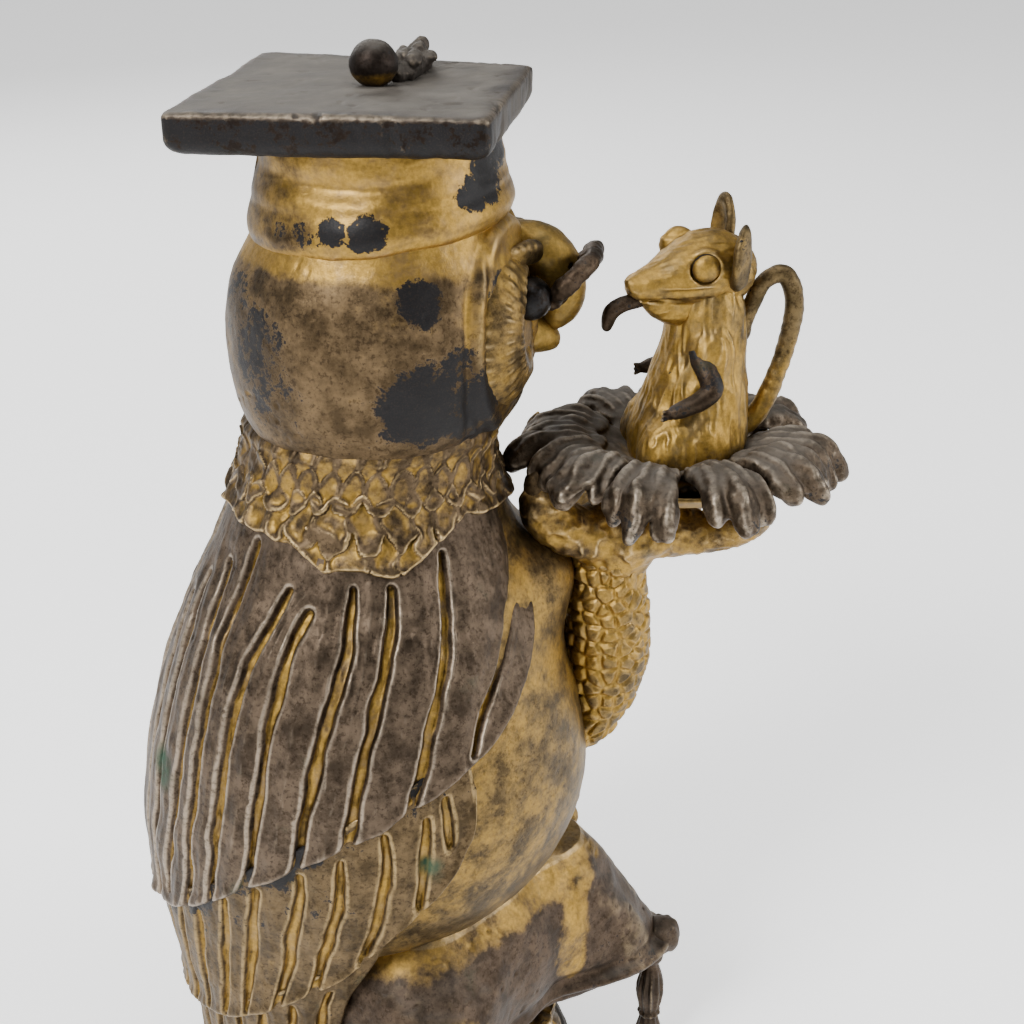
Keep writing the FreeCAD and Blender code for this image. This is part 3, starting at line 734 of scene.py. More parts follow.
def ruff():
    """The neck ruff: upright arches in the upper rows, looser cups below, and a ragged lower edge."""
    rows, columns = 118, 620
    z = np.linspace(147.5, 176.5, rows)[:, None]
    theta = np.linspace(-180, 180, columns, endpoint=False)[None, :]
    flat_theta, flat_z = (np.broadcast_to(v, (rows, columns)).ravel() for v in (theta, z))
    place = on_body(flat_theta, flat_z, RUFF_BODY, 0.0)
    turn = -np.abs(flat_theta)
    edge = curve(turn, *zip(*RUFF_EDGE)) + 1.0 * noise(place, 5, 401, 2)
    loose = ramp(172 - flat_z, 2, 12)
    across = flat_theta / 360 * 36 * 4.4 + (1.0 + 1.4 * loose) * noise(place, 5, 402, 2)
    down = 175.5 - flat_z + (1.0 + 1.2 * loose) * noise(place, 5, 403, 2)
    arch, arch_rim = scale_lattice(across, -down, 4.4, 5.0)
    cup, cup_rim = scale_lattice(across, down, 5.2, 5.6, pointed=False)
    low_rows = ramp(down, 9.0, 11.5)
    high, rim = arch * (1 - low_rows) + cup * low_rows, arch_rim * (1 - low_rows) + cup_rim * low_rows
    uneven = 0.6 + 0.55 * noise(place, 4.5, 406, 2)
    height = 0.9 * high * uneven + 0.3 * bell(rim, 0.72, 0.25) * uneven - 0.35 * low_rows * (1 - ramp(rim, 0.15, 0.65))
    height += 0.5 * noise(place, 4, 404, 2) + 0.25 * noise(place, 1.6, 405, 2)
    skirt = ramp(flat_z - edge, -0.8, 1.0)
    top = ramp(176.5 - flat_z, 0, 3.5)
    height = (height + 0.6) * skirt * top - 3.4 * (1 - skirt) - 1.2 * (1 - top)
    points = on_body(flat_theta, flat_z, RUFF_BODY, height)
    verts, faces = closed_tube(points.reshape(rows, columns, 3))
    rim, side = np.append(rim, [0, 0]), np.append(flat_theta, [0, 0])
    behind = ramp(np.abs(side), 100, 140)
    add_piece("neck_ruff_cast", ["neck_ruff"], verts, faces, RUFF_PATINA, gold=0.35 * (1 - ramp(rim, 0.3, 0.8)),
              dark=0.1 * behind + 0.12 * (1 - ramp(rim, 0.1, 0.5)), rounds=5)


# ---------------------------------------------------------------- head
HEAD = [(168, -17, 24, 20.5), (171, -18, 25, 22), (176, -20.5, 30.0, 25), (184, -22, 33.2, 27), (193, -22, 34, 27.5),
        (202, -20.3, 33, 26.5), (209, -16.6, 30.6, 24.2), (215, -14.2, 28.2, 22.0), (219, -12, 27, 20)]
EYE, EYE_RADIUS = (30.5, 10.5, 198.0), 4.6


def face_distance(verts, side):
    """Distance across the face disc on one side from its centre, as a share of its rim."""
    turn = math.radians(24)
    local = (verts - [30.0, 11.0 * side, 193.0]) * [1, side, 1]
    across = -local[:, 0] * math.sin(turn) + local[:, 1] * math.cos(turn)
    return np.hypot(across / 13.0, local[:, 2] / 16.5), np.degrees(np.arctan2(local[:, 2], across)), local


def head():
    z = np.linspace(168.5, 216, 158)[:, None]
    theta = np.linspace(-180, 180, 520, endpoint=False)[None, :]
    verts, faces = closed_tube(on_body(theta, z, HEAD))
    height = 0.5 * noise(verts, 15, 501, 2) + 0.14 * noise(verts, 4.5, 502, 2) + 0.05 * noise(verts, 1.3, 503, 2)
    front = ramp(verts[:, 0], 14, 26)
    for side in (-1, 1):
        reach, _, _ = face_distance(verts, side)
        height += front * (0.9 * bell(reach, 1.12, 0.10) - 0.5 * bell(reach, 1.28, 0.07))
    # a soft cheek fold and a few tooled streaks beside the face
    height -= 0.35 * bell(verts[:, 0], 19.5, 0.9) * ramp(np.abs(verts[:, 1]), 10, 18) * ramp(207 - verts[:, 2], 0, 6)
    height -= 0.5 * bell(verts[:, 0], 23.5, 0.8) * ramp(np.abs(verts[:, 1]), 8, 16) * ramp(verts[:, 2], 183, 190)
    pits = noise(verts, 1.7, 505, 1)
    height -= 0.22 * ramp(pits, 0.45, 0.7) * ramp(noise(verts, 11, 506, 1), -0.1, 0.4)
    verts = displace(verts, faces, height)
    dark = patches(verts, [
        (11, -25, 185, 9, 1.0), (20, -22, 183, 8, 1.0), (17, -24, 191, 4.5, 0.9), (22, -19, 177, 6, 0.9),
        (-17, -16, 192, 9, 0.72), (-15, -19, 184, 8, 0.66), (-20, -8, 198, 7, 0.6), (11.5, -25, 203, 4.6, 0.95),
        (25, -17, 202, 3.6, 0.8), (25.5, -16, 195, 3.2, 0.75), (-2, -26, 178, 7, 0.35),
        (15, 25, 184, 9, 0.5), (-18, 14, 190, 10, 0.45), (-20, 0, 178, 7, 0.4)])
    streak = ramp(verts[:, 0], 20, 28) * ramp(noise(verts * [1, 1, 0.2], 2.2, 509, 2), 0.1, 0.5)
    under_cap = ramp(verts[:, 2], 204.5, 208)
    add_piece("head_cast", ["head"], verts, faces, HEAD_PATINA, gold=0.18 + 0.6 * under_cap + 0.25 * front,
              dark=dark + 0.3 * streak)


def face(side):
    """One shallow dish of fine radial feathers round an eye."""
    name = "right" if side < 0 else "left"
    clay = Clay((18, -2 if side > 0 else -29, 172), (42, 29 if side > 0 else 2, 212), 0.34)
    clay.egg((25.4, 10.9 * side, 192.6), (8.0, 11.6, 14.8), turn=22 * side)
    clay.egg((37.0, 12.6 * side, 195.0), (7.0, 8.6, 10.5), turn=22 * side, radius=2.5, cut=True)
    clay.field = np.maximum(clay.field, 0.15 - side * clay.axes[1].astype(np.float32)[None, :, None])
    verts, faces = clay.mesh()
    reach, turn, _ = face_distance(verts, side)
    barbs = np.sin(np.radians(turn) * 34 + 1.2 * noise(verts, 4, 521, 1))
    rings = np.sin(reach * 26 + 0.6 * noise(verts, 5, 522, 1))
    eye_away = np.linalg.norm(verts - [EYE[0] + 1.5, EYE[1] * side, EYE[2]], axis=1)
    plain = ramp(eye_away, EYE_RADIUS - 0.5, EYE_RADIUS + 1.5)
    height = plain * (0.08 * barbs + 0.06 * rings * barbs) + 0.6 * bell(eye_away, EYE_RADIUS + 0.8, 0.9)
    verts = displace(verts, faces, height + 0.12 * noise(verts, 3, 523, 2))
    add_piece(name + "_face_disc_cast", [name + "_face_disc"], verts, faces, FACE_PATINA, gold=0.25,
              dark=0.2 * ramp(noise(verts, 5, 524, 2), 0, 0.5))

    clay = Clay((22, 4 if side > 0 else -18, 190), (40, 18 if side > 0 else -4, 207), 0.22)
    x, y, z = EYE
    clay.egg((x + 1.6, y * side, z), (EYE_RADIUS * 0.86,) * 3)
    clay.egg((x + 6.3, (y + 1.6) * side, z), (1.4, 1.4, 1.4), radius=0.5, cut=True)
    verts, faces = clay.mesh()
    add_piece(name + "_eye_cast", [name + "_eye"], verts, faces, BLACK_PATINA, slot="black_bronze", rounds=6)

    clay = Clay((18, 0.2 if side > 0 else -22, 200), (41, 22 if side > 0 else -0.2, 217), 0.3)
    for k in range(3):
        clay.chain([(35.5 - k * 0.3, (2.4 + k * 0.3) * side, 203.6 + k * 0.7),
                    (32.6, (6.5 + k * 0.4) * side, 204.6 + k * 0.9),
                    (28.6 - k * 0.5, (11.5 + k * 0.4) * side, 204.8 + k * 1.0)], [0.9, 1.4, 0.5], radius=0.5)
    verts, faces = clay.mesh()
    verts, faces = cast_skin(verts, faces, 531), faces
    add_piece(name + "_brow_tuft_cast", [name + "_brow_tuft"], verts, faces, FACE_PATINA, gold=0.2, dark=0.1)


def beak():
    clay = Clay((26, -9, 184), (47, 9, 214), 0.3)
    clay.chain([(31, 0, 206), (36.0, 0, 203), (38.8, 0, 198), (39.6, 0, 193.5), (38.0, 0, 189.4)],
               [3.4, 4.8, 4.6, 3.2, 0.9], radius=1.5)
    for side in (-1, 1):
        clay.egg((37.5, 3.6 * side, 202), (2.2, 1.5, 1.8), radius=1.2)
        clay.egg((40.2, 3.7 * side, 201.6), (0.8, 0.9, 0.6), radius=0.6, cut=True)
    verts, faces = clay.mesh()
    verts = cast_skin(verts, faces, 541, lump=0.2, grain=0.06, lump_size=4)
    add_piece("upper_beak_cast", ["upper_beak"], verts, faces, BEAK_PATINA, gold=0.35, green=0.12, dark=0.0)
    clay = Clay((26, -8, 180), (44, 8, 196), 0.3)
    clay.chain([(30, 0, 189.5), (34.5, 0, 187.6), (37.4, 0, 186.6)], [3.6, 3.3, 1.9], radius=1.0)
    verts, faces = clay.mesh()
    verts = cast_skin(verts, faces, 543, lump=0.2, grain=0.06, lump_size=4)
    add_piece("lower_beak_cast", ["lower_beak"], verts, faces, BEAK_PATINA, gold=0.3, green=0.12, dark=0.0)


def spectacles():
    """Pince-nez clipped a little askew across the beak and leaning forward, with thick rough rims."""
    centre, up = np.array([41.7, 0, 198.8]), np.array([0.707, 0, 0.707])
    across = np.array([0.20, 0.95, -0.20])
    normal = np.cross(across, up)
    normal /= np.linalg.norm(normal)
    across = np.cross(up, normal)
    clay = Clay((32, -18, 186), (52, 18, 212), 0.24)
    for side in (-1, 1):
        middle = centre + across * 7.0 * side
        turns = np.radians(np.arange(0, 361, 15))
        ring = [middle + 5.6 * (math.cos(t) * across + math.sin(t) * up) for t in turns]
        for k in range(len(ring) - 1):
            thick = 1.6 + 0.2 * math.sin(k * 1.7 + side)
            clay.bar(ring[k], ring[k + 1], thick, thick, radius=0.6)
        clay.egg(middle - across * 3.6 * side - up * 4.2, (2.3, 2.3, 2.3), radius=0.8)
    clay.chain([centre - across * 2.4, centre - normal * 1.2, centre + across * 2.4], [1.3, 1.4, 1.3], radius=0.8)
    verts, faces = clay.mesh()
    verts = cast_skin(verts, faces, 551, lump=0.25, grain=0.12, lump_size=2.2)
    add_piece("spectacle_frame_cast", ["spectacle_frame"], verts, faces, DARK_PATINA, gold=0.0, dark=0.12, rounds=5)
    shapes = []
    for side in (-1, 1):
        clay = Clay((32, -18, 186), (52, 18, 212), 0.3)
        middle = centre + across * 7.0 * side
        for k in range(-6, 7):
            for j in range(-6, 7):
                if k * k + j * j <= 34:
                    clay.egg(middle + across * k * 0.75 + up * j * 0.75, (0.75, 0.75, 0.75), radius=0.8)
        shapes.append(clay.mesh())
    verts, faces = joined(*shapes)
    add_piece("spectacle_lenses_cast", ["spectacle_lenses"], verts, faces, BLACK_PATINA, slot="black_bronze")


# ---------------------------------------------------------------- cap
BOARD_TOP, BOARD_THICK = 234.0, 7.0
BOARD_CORNERS = [(-29, -19.5), (22.5, -31.5), (37, 17.5), (-13, 38)]


def cap_crown():
    """The soft crown: a smooth rolled band at the brow, and a slack swag above it."""
    table = [(203.8, -14.8, 28.4, 22.0), (205.2, -16.0, 29.8, 23.8), (207.0, -16.6, 30.4, 24.4),
             (210.5, -16.5, 30.2, 24.2), (214, -15.8, 29.6, 23.4), (219, -14.8, 28.8, 22.3), (223, -14.2, 28.3, 21.6),
             (227.6, -13.6, 28.0, 21.0)]
    z = np.linspace(203.9, 227.5, 110)[:, None]
    theta = np.linspace(-180, 180, 480, endpoint=False)[None, :]
    verts, faces = closed_tube(on_body(theta, z, table))
    rise = verts[:, 2].copy()
    height = 0.15 * bell(rise, 208.5, 2.6) - 0.15 * bell(rise + 0.8 * noise(verts, 12, 601, 1), 213.8, 1.4)
    swag = bell(verts[:, 0], 0, 13) * (verts[:, 1] < 0)
    height -= 1.1 * swag * bell(rise, 222 - 2.2 * swag, 2.6)
    folds = noise(verts * [1, 1, 2.0] + 0.5 * rise[:, None], 17, 602, 2)
    height += 0.45 * (0.5 - np.abs(folds)) * ramp(rise, 212, 217) + 0.4 * noise(verts, 11, 603, 2)
    height += 0.08 * noise(verts, 2.6, 604, 2)
    verts = displace(verts, faces, height)
    verts[:, 2] += ((verts[:, 0] - 7) * math.tan(math.radians(6)) + 5.6) * (1 - ramp(rise, 204, 227))
    dark = patches(verts, [(-13.5, -18, 213, 4.2, 1.0), (-9, -20.5, 214, 3.6, 0.95), (3, -24, 214.5, 3.6, 1.0),
                           (-3, -23, 214.5, 3.0, 0.9), (25, -14, 222, 5.5, 1.0), (28, -9, 225, 5, 1.0),
                           (21, -18, 219, 3.6, 0.9), (-10, 18, 218, 6, 0.8), (22, 17, 216, 5, 0.8)])
    add_piece("cap_crown_cast", ["cap_crown"], verts, faces, CAP_PATINA,
              gold=0.45 * ramp(verts[:, 0], -18, 0) + 0.1 + 0.4 * ramp(207 - rise, 0, 2), dark=dark)


def beyond_sides(x, y):
    """How far each place is outside each side of the board in turn, in mm."""
    for (x0, y0), (x1, y1) in zip(BOARD_CORNERS, BOARD_CORNERS[1:] + BOARD_CORNERS[:1]):
        yield ((x - x0) * (y1 - y0) - (y - y0) * (x1 - x0)) / math.hypot(x1 - x0, y1 - y0)


def mortarboard():
    """The thick board: flat and dust-covered on top, its underside rounder than its upper edge."""
    clay = Clay((-33, -36, 225), (41, 42, 236), 0.45)
    x, y, z = (clay.axes[k].astype(np.float32).reshape([-1 if k == m else 1 for m in range(3)]) for k in range(3))
    side = np.full(clay.field.shape[:2] + (1,), -100.0, np.float32)
    corner = 2.0  # rounding of the upright corners
    for away in beyond_sides(x, y):
        overlap = np.maximum(corner - np.abs(side - away), 0)
        side = np.maximum(side, away) + overlap * overlap / (4 * corner)
    half = BOARD_THICK / 2
    middle = BOARD_TOP - half
    level = np.abs(z - middle) - half
    edge = np.where(z > middle, 1.0, 2.8)  # rounding of the level edges
    a, b = np.maximum(side + edge, 0), np.maximum(level + edge, 0)
    clay.field = np.sqrt(a * a + b * b) - edge + np.minimum(np.maximum(side + edge, level + edge), 0)
    verts, faces = clay.mesh()
    top = ramp(verts[:, 2], BOARD_TOP - 1.2, BOARD_TOP - 0.3)
    height = 0.35 * noise(verts, 17, 621, 2) + 0.12 * noise(verts, 4, 622, 2) + 0.05 * noise(verts, 1.2, 623, 2)
    height -= 0.25 * ramp(noise(verts, 1.9, 624, 1), 0.5, 0.72) * (0.35 + 0.65 * top)
    height -= 0.45 * (1 - top) * ramp(noise(verts * [1, 1, 0.4], 5, 625, 2), 0.3, 0.8)
    verts = displace(verts, faces, height)
    nearest = np.full(len(verts), 100.0)
    for away in beyond_sides(verts[:, 0], verts[:, 1]):
        nearest = np.minimum(nearest, -away)
    ragged = ramp(nearest + 2.2 * noise(verts, 9, 626, 2), 0.5, 5.0)
    dusty = 0.62 * top * ragged * (0.75 + 0.4 * noise(verts, 5, 627, 3))
    # painted highlight: pale upright streaks on the sides of the board's forward end, given through the dust mask in
    # place of black lacquer
    right = ramp(verts[:, 0], 22, 27) * (1 - top) * ramp(noise(verts * [1, 1, 0.15], 2.4, 628, 2), -0.5, 0.4)
    add_piece("mortarboard_cast", ["mortarboard"], verts, faces, BOARD_PATINA, slot="dark_bronze", gold=-0.25,
              dusty=np.clip(dusty + 0.5 * right, 0, 1), dark=0.75 * (1 - top) * (1 - right), rounds=4)


def cap_trimmings():
    clay = Clay((0, -7, BOARD_TOP - 1), (14, 7, BOARD_TOP + 10), 0.2)
    clay.egg((6.4, 0, BOARD_TOP + 3.6), (4.2, 4.2, 4.1))
    verts, faces = clay.mesh()
    verts = cast_skin(verts, faces, 631, lump=0.14, grain=0.04, lump_size=3)
    add_piece("cap_button_cast", ["cap_button"], verts, faces, BOARD_PATINA, slot="dark_bronze",
              gold=0.9 * ramp(BOARD_TOP + 4.5 - verts[:, 2], 0, 3), dark=0.5 * ramp(verts[:, 2] - BOARD_TOP, 4, 6),
              dusty=0.25 * ramp(verts[:, 2], BOARD_TOP + 5.5, BOARD_TOP + 8))

    clay = Clay((5, 1, BOARD_TOP - 1.5), (24, 36, BOARD_TOP + 9), 0.25)
    clay.chain([(10.8, 3.4, BOARD_TOP + 1.0), (12.8, 8, BOARD_TOP + 1.4), (14.8, 13.5, BOARD_TOP + 1.5),
                (16.6, 18.5, BOARD_TOP + 0.8)], [1.2, 2.0, 2.2, 1.2])
    generator = np.random.default_rng(17)
    for k in range(30):
        share = 0.12 + 0.75 * k / 29
        centre = (11.6 + 5 * share + generator.normal(0, 1.2), 3.5 + 15 * share,
                  BOARD_TOP + 2.6 + generator.normal(0, 0.6))
        clay.egg(centre, (1 + 0.7 * generator.random(), 1 + 0.7 * generator.random(), 1 + 0.6 * generator.random()),
                 radius=0.4)
    verts, faces = clay.mesh()
    verts = cast_skin(verts, faces, 633, lump=0.3, grain=0.22, lump_size=1.8)
    add_piece("cap_tassel_cord_cast", ["cap_tassel_cord"], verts, faces, BOARD_PATINA, slot="dark_bronze", gold=-0.1,
              dusty=0.3, rounds=5)

    clay = Clay((12, 18, BOARD_TOP - 21), (24, 38, BOARD_TOP + 4), 0.25)
    clay.chain([(16.8, 21, BOARD_TOP - 0.9), (17.2, 27.5, BOARD_TOP - 0.9), (17.6, 32.2, BOARD_TOP - 1.2),
                (17.8, 33.9, BOARD_TOP - 6)], [1.2, 1.3, 1.4, 1.6], radius=0.5)
    clay.egg((17.8, 33.9, BOARD_TOP - 7), (2.3, 2.3, 1.9), radius=0.4)
    clay.chain([(17.8, 33.9, BOARD_TOP - 8.5), (17.8, 34, BOARD_TOP - 12), (17.8, 34, BOARD_TOP - 19)], [1.8, 2.6, 2.9],
               radius=0.4)
    verts, faces = clay.mesh()
    below = ramp(BOARD_TOP - 8.5 - verts[:, 2], 0, 1)
    turn = np.arctan2(verts[:, 1] - 34, verts[:, 0] - 17.8)
    twist = np.sin(turn * 2 + verts[:, 2] * 2.4 + verts[:, 1] * 2.4) * (1 - below)
    verts = displace(verts, faces, 0.28 * np.sin(turn * 13 + noise(verts, 3, 635, 1)) * below + 0.2 * twist)
    add_piece("cap_tassel_cast", ["cap_tassel"], verts, faces, MANTLE_PATINA, gold=0.1, dark=0.2, rounds=4)


# ---------------------------------------------------------------- raised leg, saucer and leaves
LEG = [(95.5, 36, 48, 5.5), (98, 38, 50, 7.0), (104, 40, 54.5, 8.6), (113, 40.5, 58.2, 9.6), (126, 41.5, 58.6, 9.4),
       (137, 42.0, 57.5, 8.6), (142, 42.5, 57.5, 8.4), (146, 45, 57, 7.5)]
SAUCER_CENTRE, SAUCER_RIM = (62.5, 0.0), 162.0


def cells(across, down, seed):
    """Irregular cells on a plane: how far inside its own cell each place is, and a value for the cell."""
    first, second = np.full(len(across), 9.0), np.full(len(across), 9.0)
    owner = np.zeros(len(across))
    u, v = np.floor(across).astype(np.int64), np.floor(down).astype(np.int64)
    for du, dv in itertools.product((-1, 0, 1), repeat=2):
        cell = np.stack([u + du, v + dv, np.zeros_like(u)], 1)
        shift_u, shift_v, value = (lattice(cell, (0, 0, 0), seed + k) for k in range(3))
        away = np.hypot(across - (u + du + 0.5 + 0.36 * shift_u), down - (v + dv + 0.5 + 0.36 * shift_v))
        closer = away < first
        second = np.where(closer, first, np.minimum(second, away))
        first, owner = np.where(closer, away, first), np.where(closer, value, owner)
    return second - first, owner


def leg():
    """The drumstick, covered in small irregular scales, with a plain lumpy top."""
    rows, columns = 210, 250
    z = np.linspace(95.6, 145.8, rows)[:, None]
    theta = np.linspace(-180, 180, columns, endpoint=False)[None, :]
    flat_theta, flat_z = (np.broadcast_to(v, (rows, columns)).ravel() for v in (theta, z))
    place = on_body(flat_theta, flat_z, LEG)
    edge, scale = cells(flat_theta / 360 * 16 + 0.1 * flat_z / 3.2, flat_z / 3.1, 701)
    scaled = ramp(143 - flat_z, 0, 3)
    height = scaled * (0.6 * ramp(edge, 0, 0.45) + 0.22 * scale) + 0.3 * noise(place, 5, 703, 2)
    height += 0.07 * noise(place, 1.3, 704, 2)
    points = on_body(flat_theta, flat_z, LEG, height * ramp(flat_z, 95.6, 99.5) - 0.2)
    verts, faces = closed_tube(points.reshape(rows, columns, 3))
    edge = np.append(edge * scaled + 1 - scaled, [0.5, 0.5])
    add_piece("raised_leg_cast", ["raised_leg"], verts, faces, LEG_PATINA, gold=0.5 - 0.3 * ramp(edge, 0.2, 0.5),
              dark=0.15 * ramp(0.12 - edge, 0, 0.1), rounds=4)


TOES = {
    "rear": [(49, -3, 146.5), (43, -4.2, 147.5), (37.4, -5, 151), (35.0, -5, 156)],
    "front": [(59, -2.5, 146.5), (67, -4.5, 146), (74, -6, 147.5), (78.5, -6.5, 150)],
    "outer_front": [(58, 3, 146), (66, 9, 146), (73, 15, 148.5), (78, 19, 153)],
    "outer_rear": [(50, 4, 146), (45, 10, 147), (41, 16, 151), (39, 19.5, 156)],
}
CLAWS = {
    "rear": [(35.0, -5, 156), (34.4, -5, 159.5), (35.8, -4.9, 163.4)],
    "front": [(78.5, -6.5, 150), (79.9, -6.7, 152.4), (79.7, -6.6, 155.4)],
    "outer_front": [(78, 19, 153), (79.6, 20.6, 157), (79.2, 20.6, 160.6)],
    "outer_rear": [(39, 19.5, 156), (37.9, 20.6, 159.6), (38.6, 20.6, 163)],
}


def raised_foot():
    clay = Clay((28, -16, 136), (86, 28, 163), 0.34)
    clay.egg((53.5, -0.5, 145.6), (12.0, 10.0, 5.0))
    clay.bar((50.5, -0.5, 141.5), (51.5, -0.5, 146), 8.0, 8.0, radius=3)
    for name, track in TOES.items():
        clay.chain(track, [5.0, 4.3, 4.0, 3.1] if name == "rear" else [4.7, 3.5, 3.1, 2.7], radius=2.2)
        track = np.array(track)
        for share in (0.35, 0.62, 0.88):
            knuckle = [np.interp(share * 3, range(4), track[:, k]) for k in range(3)]
            clay.egg(np.array(knuckle) + [0, 0, 0.6], (3.2, 3.3, 3.0), radius=1.2)
    verts, faces = clay.mesh()
    lumps = np.abs(noise(verts, 3.4, 711, 2))
    height = 0.8 * (0.5 - lumps) + 0.3 * noise(verts, 7, 712, 2) + 0.1 * noise(verts, 1.3, 713, 2)
    verts = displace(verts, faces, height)
    add_piece("raised_foot_cast", ["raised_foot"], verts, faces, FOOT_PATINA, gold=0.55,
              dark=0.3 * ramp(noise(verts, 5, 714, 2), 0.25, 0.8) + 0.2 * ramp(verts[:, 0], 73, 79))
    clay = Clay((30, -10, 144), (84, 25, 166), 0.25)
    for name, track in CLAWS.items():
        clay.chain(track, [2.9, 2.2, 0.45] if name == "rear" else [2.5, 1.8, 0.4], radius=0.4)
    verts, faces = clay.mesh()
    verts = cast_skin(verts, faces, 715, lump=0.15, grain=0.05, lump_size=3)
    add_piece("raised_talons_cast", ["raised_talons"], verts, faces, FOOT_PATINA, gold=0.1, dark=0.25)


def standing_foot():
    """The other foot, tucked under the far side of the belly with its toes over the cushion."""
    ankle = np.array([31, 19, 74.0])
    clay = Clay((18, 2, 55), (54, 38, 84), 0.34)
    clay.egg(ankle, (8, 7, 5))
    talons = Clay((18, 2, 55), (54, 38, 84), 0.3)
    for spread in (-28, 2, 32):
        reach = np.array([math.cos(math.radians(spread)), math.sin(math.radians(spread)), 0])
        track = [ankle + reach * 2, ankle + reach * 8 + [0, 0, -1.0], ankle + reach * 13.5 + [0, 0, -4.5]]
        clay.chain(track, [4.0, 3.4, 2.8], radius=1.5)
        clay.egg(track[1] + [0, 0, 0.8], (3.4, 3.4, 3.2), radius=1)
        talons.chain([track[2], ankle + reach * 16.3 + [0, 0, -7.5], ankle + reach * 16.8 + [0, 0, -11]],
                     [2.7, 1.8, 0.5], radius=0.4)
    for part, name, seed in ((clay, "standing_foot", 721), (talons, "standing_talons", 723)):
        verts, faces = part.mesh()
        verts = displace(verts, faces, 0.5 * (0.5 - np.abs(noise(verts, 3.4, seed, 2))) * (name == "standing_foot")
                         + 0.15 * noise(verts, 2, seed + 1, 2))
        add_piece(name + "_cast", [name], verts, faces, FOOT_PATINA, gold=0.35, dark=0.15)


def saucer():
    rim = SAUCER_RIM
    profile = [(0.3, rim - 7), (6, rim - 7.2), (11, rim - 6.8), (17, rim - 4.6), (21, rim - 2.0), (22.4, rim - 0.9),
               (22.7, rim - 0.3), (22.2, rim + 0.15), (20.8, rim - 0.6), (16.5, rim - 2.7), (9, rim - 5.0),
               (0.3, rim - 5.2)]
    knots = np.arange(len(profile))
    steps = np.linspace(0, len(profile) - 1, 120)
    radius, height = (curve(steps, knots, [p[k] for p in profile]) for k in (0, 1))
    theta = np.radians(np.linspace(0, 360, 360, endpoint=False))[None, :]
    x = SAUCER_CENTRE[0] + radius[:, None] * np.cos(theta)
    y = SAUCER_CENTRE[1] + radius[:, None] * np.sin(theta)
    verts, faces = closed_tube(np.stack([x, y, np.broadcast_to(height[:, None], x.shape)], -1))
    verts = displace(verts, faces, 0.25 * noise(verts, 8, 731, 2) + 0.1 * noise(verts, 2, 732, 2))
    add_piece("saucer_cast", ["saucer"], verts, faces, LEG_PATINA, gold=0.35, dark=0.15)


def leaves():
    """A ruff of broad, folded, curling leaves with blunt finger tips that droop over the saucer's rim."""
    generator = np.random.default_rng(41)
    clay = Clay((24, -40, 148), (104, 40, 172), 0.36)
    count = 11
    for k in range(count):
        turn = math.radians(17 + 360 / count * k + generator.uniform(-4, 4))
        out, across = np.array([math.cos(turn), math.sin(turn), 0]), np.array([-math.sin(turn), math.cos(turn), 0])
        reach = generator.uniform(28.0, 33.0)
        droop, lift = generator.uniform(3.0, 5.5), generator.uniform(-0.6, 0.8)
        bend = generator.uniform(-3.0, 3.0)

        def spot(along, rise, sideways=0.0):
            return np.array([*SAUCER_CENTRE, SAUCER_RIM]) + out * along + across * sideways + [0, 0, rise]

        for along, width, rise, thick in ((14, 4.4, 1.0, 1.2), (18.5, 5.2, 2.6 + lift, 1.3),
                                          (23, 5.0, 2.4 + lift, 1.5), (27, 3.9, 1.4 + lift - droop * 0.2, 1.7)):
            clay.egg(spot(along, rise, bend * (along - 14) / 16), (4.6, width, thick), turn=math.degrees(turn),
                     tip=(along - 19) * 3.5, radius=1.4)
        for side in (-1, 0, 1):
            length = reach - (0 if side == 0 else generator.uniform(2.0, 4.5))
            fan = side * generator.uniform(4.2, 5.8) + bend
            fall = droop - (0 if side == 0 else generator.uniform(-1.0, 2.0))
            clay.chain([spot(19, 2.8 + lift, side * 2.0), spot(length - 5, 2.4 + lift, fan * 0.75),
                        spot(length - 2, 1.2 + lift - fall * 0.4, fan), spot(length, 1.6 - fall, fan)],
                       [1.6, 1.9, 1.9, 1.5], radius=1.4)
    clay.egg((*SAUCER_CENTRE, SAUCER_RIM - 1.5), (16, 16, 3.2), radius=1.5)
    clay.egg((*SAUCER_CENTRE, SAUCER_RIM + 4), (13.0, 13.0, 5.5), radius=0.8, cut=True)
    verts, faces = clay.mesh()
    radial = np.hypot(verts[:, 0] - SAUCER_CENTRE[0], verts[:, 1])
    turn = np.arctan2(verts[:, 1], verts[:, 0] - SAUCER_CENTRE[0])
    veins = np.sin(turn * 48 + 2.6 * noise(verts, 6, 741, 2))
    verts = displace(verts, faces, 0.3 * veins * ramp(radial, 14, 19) + 0.5 * noise(verts, 4.2, 742, 2)
                     + 0.15 * noise(verts, 1.2, 743, 2))
    below = 0.35 * ramp(SAUCER_RIM + 2 - verts[:, 2], 0, 3) * ramp(30 - radial, 0, 4)
    add_piece("leaf_ruff_cast", ["leaf_ruff"], verts, faces, LEAF_PATINA, slot="dark_bronze",
              gold=below + 0.3 * ramp(18 - radial, 0, 3),
              dark=0.45 * ramp(radial, 28, 31) * ramp(SAUCER_RIM + 2 - verts[:, 2], -2, 3),
              dusty=0.3 * ramp(vertex_normals(verts, faces)[:, 2], 0.2, 0.9) * ramp(29 - radial, 0, 5), rounds=6)


# ---------------------------------------------------------------- mouse
def fur(verts, seed, grain=(1, 1, 0.22), depth=0.55):
    """Scratched hair: long shallow cuts that run up and down."""
    hair = 0.4 - np.abs(noise(verts * list(grain) + 0.25 * noise(verts, 7, seed + 3, 1)[:, None], 1.6, seed, 2))
    return depth * hair + 0.25 * noise(verts, 5, seed + 1, 2)


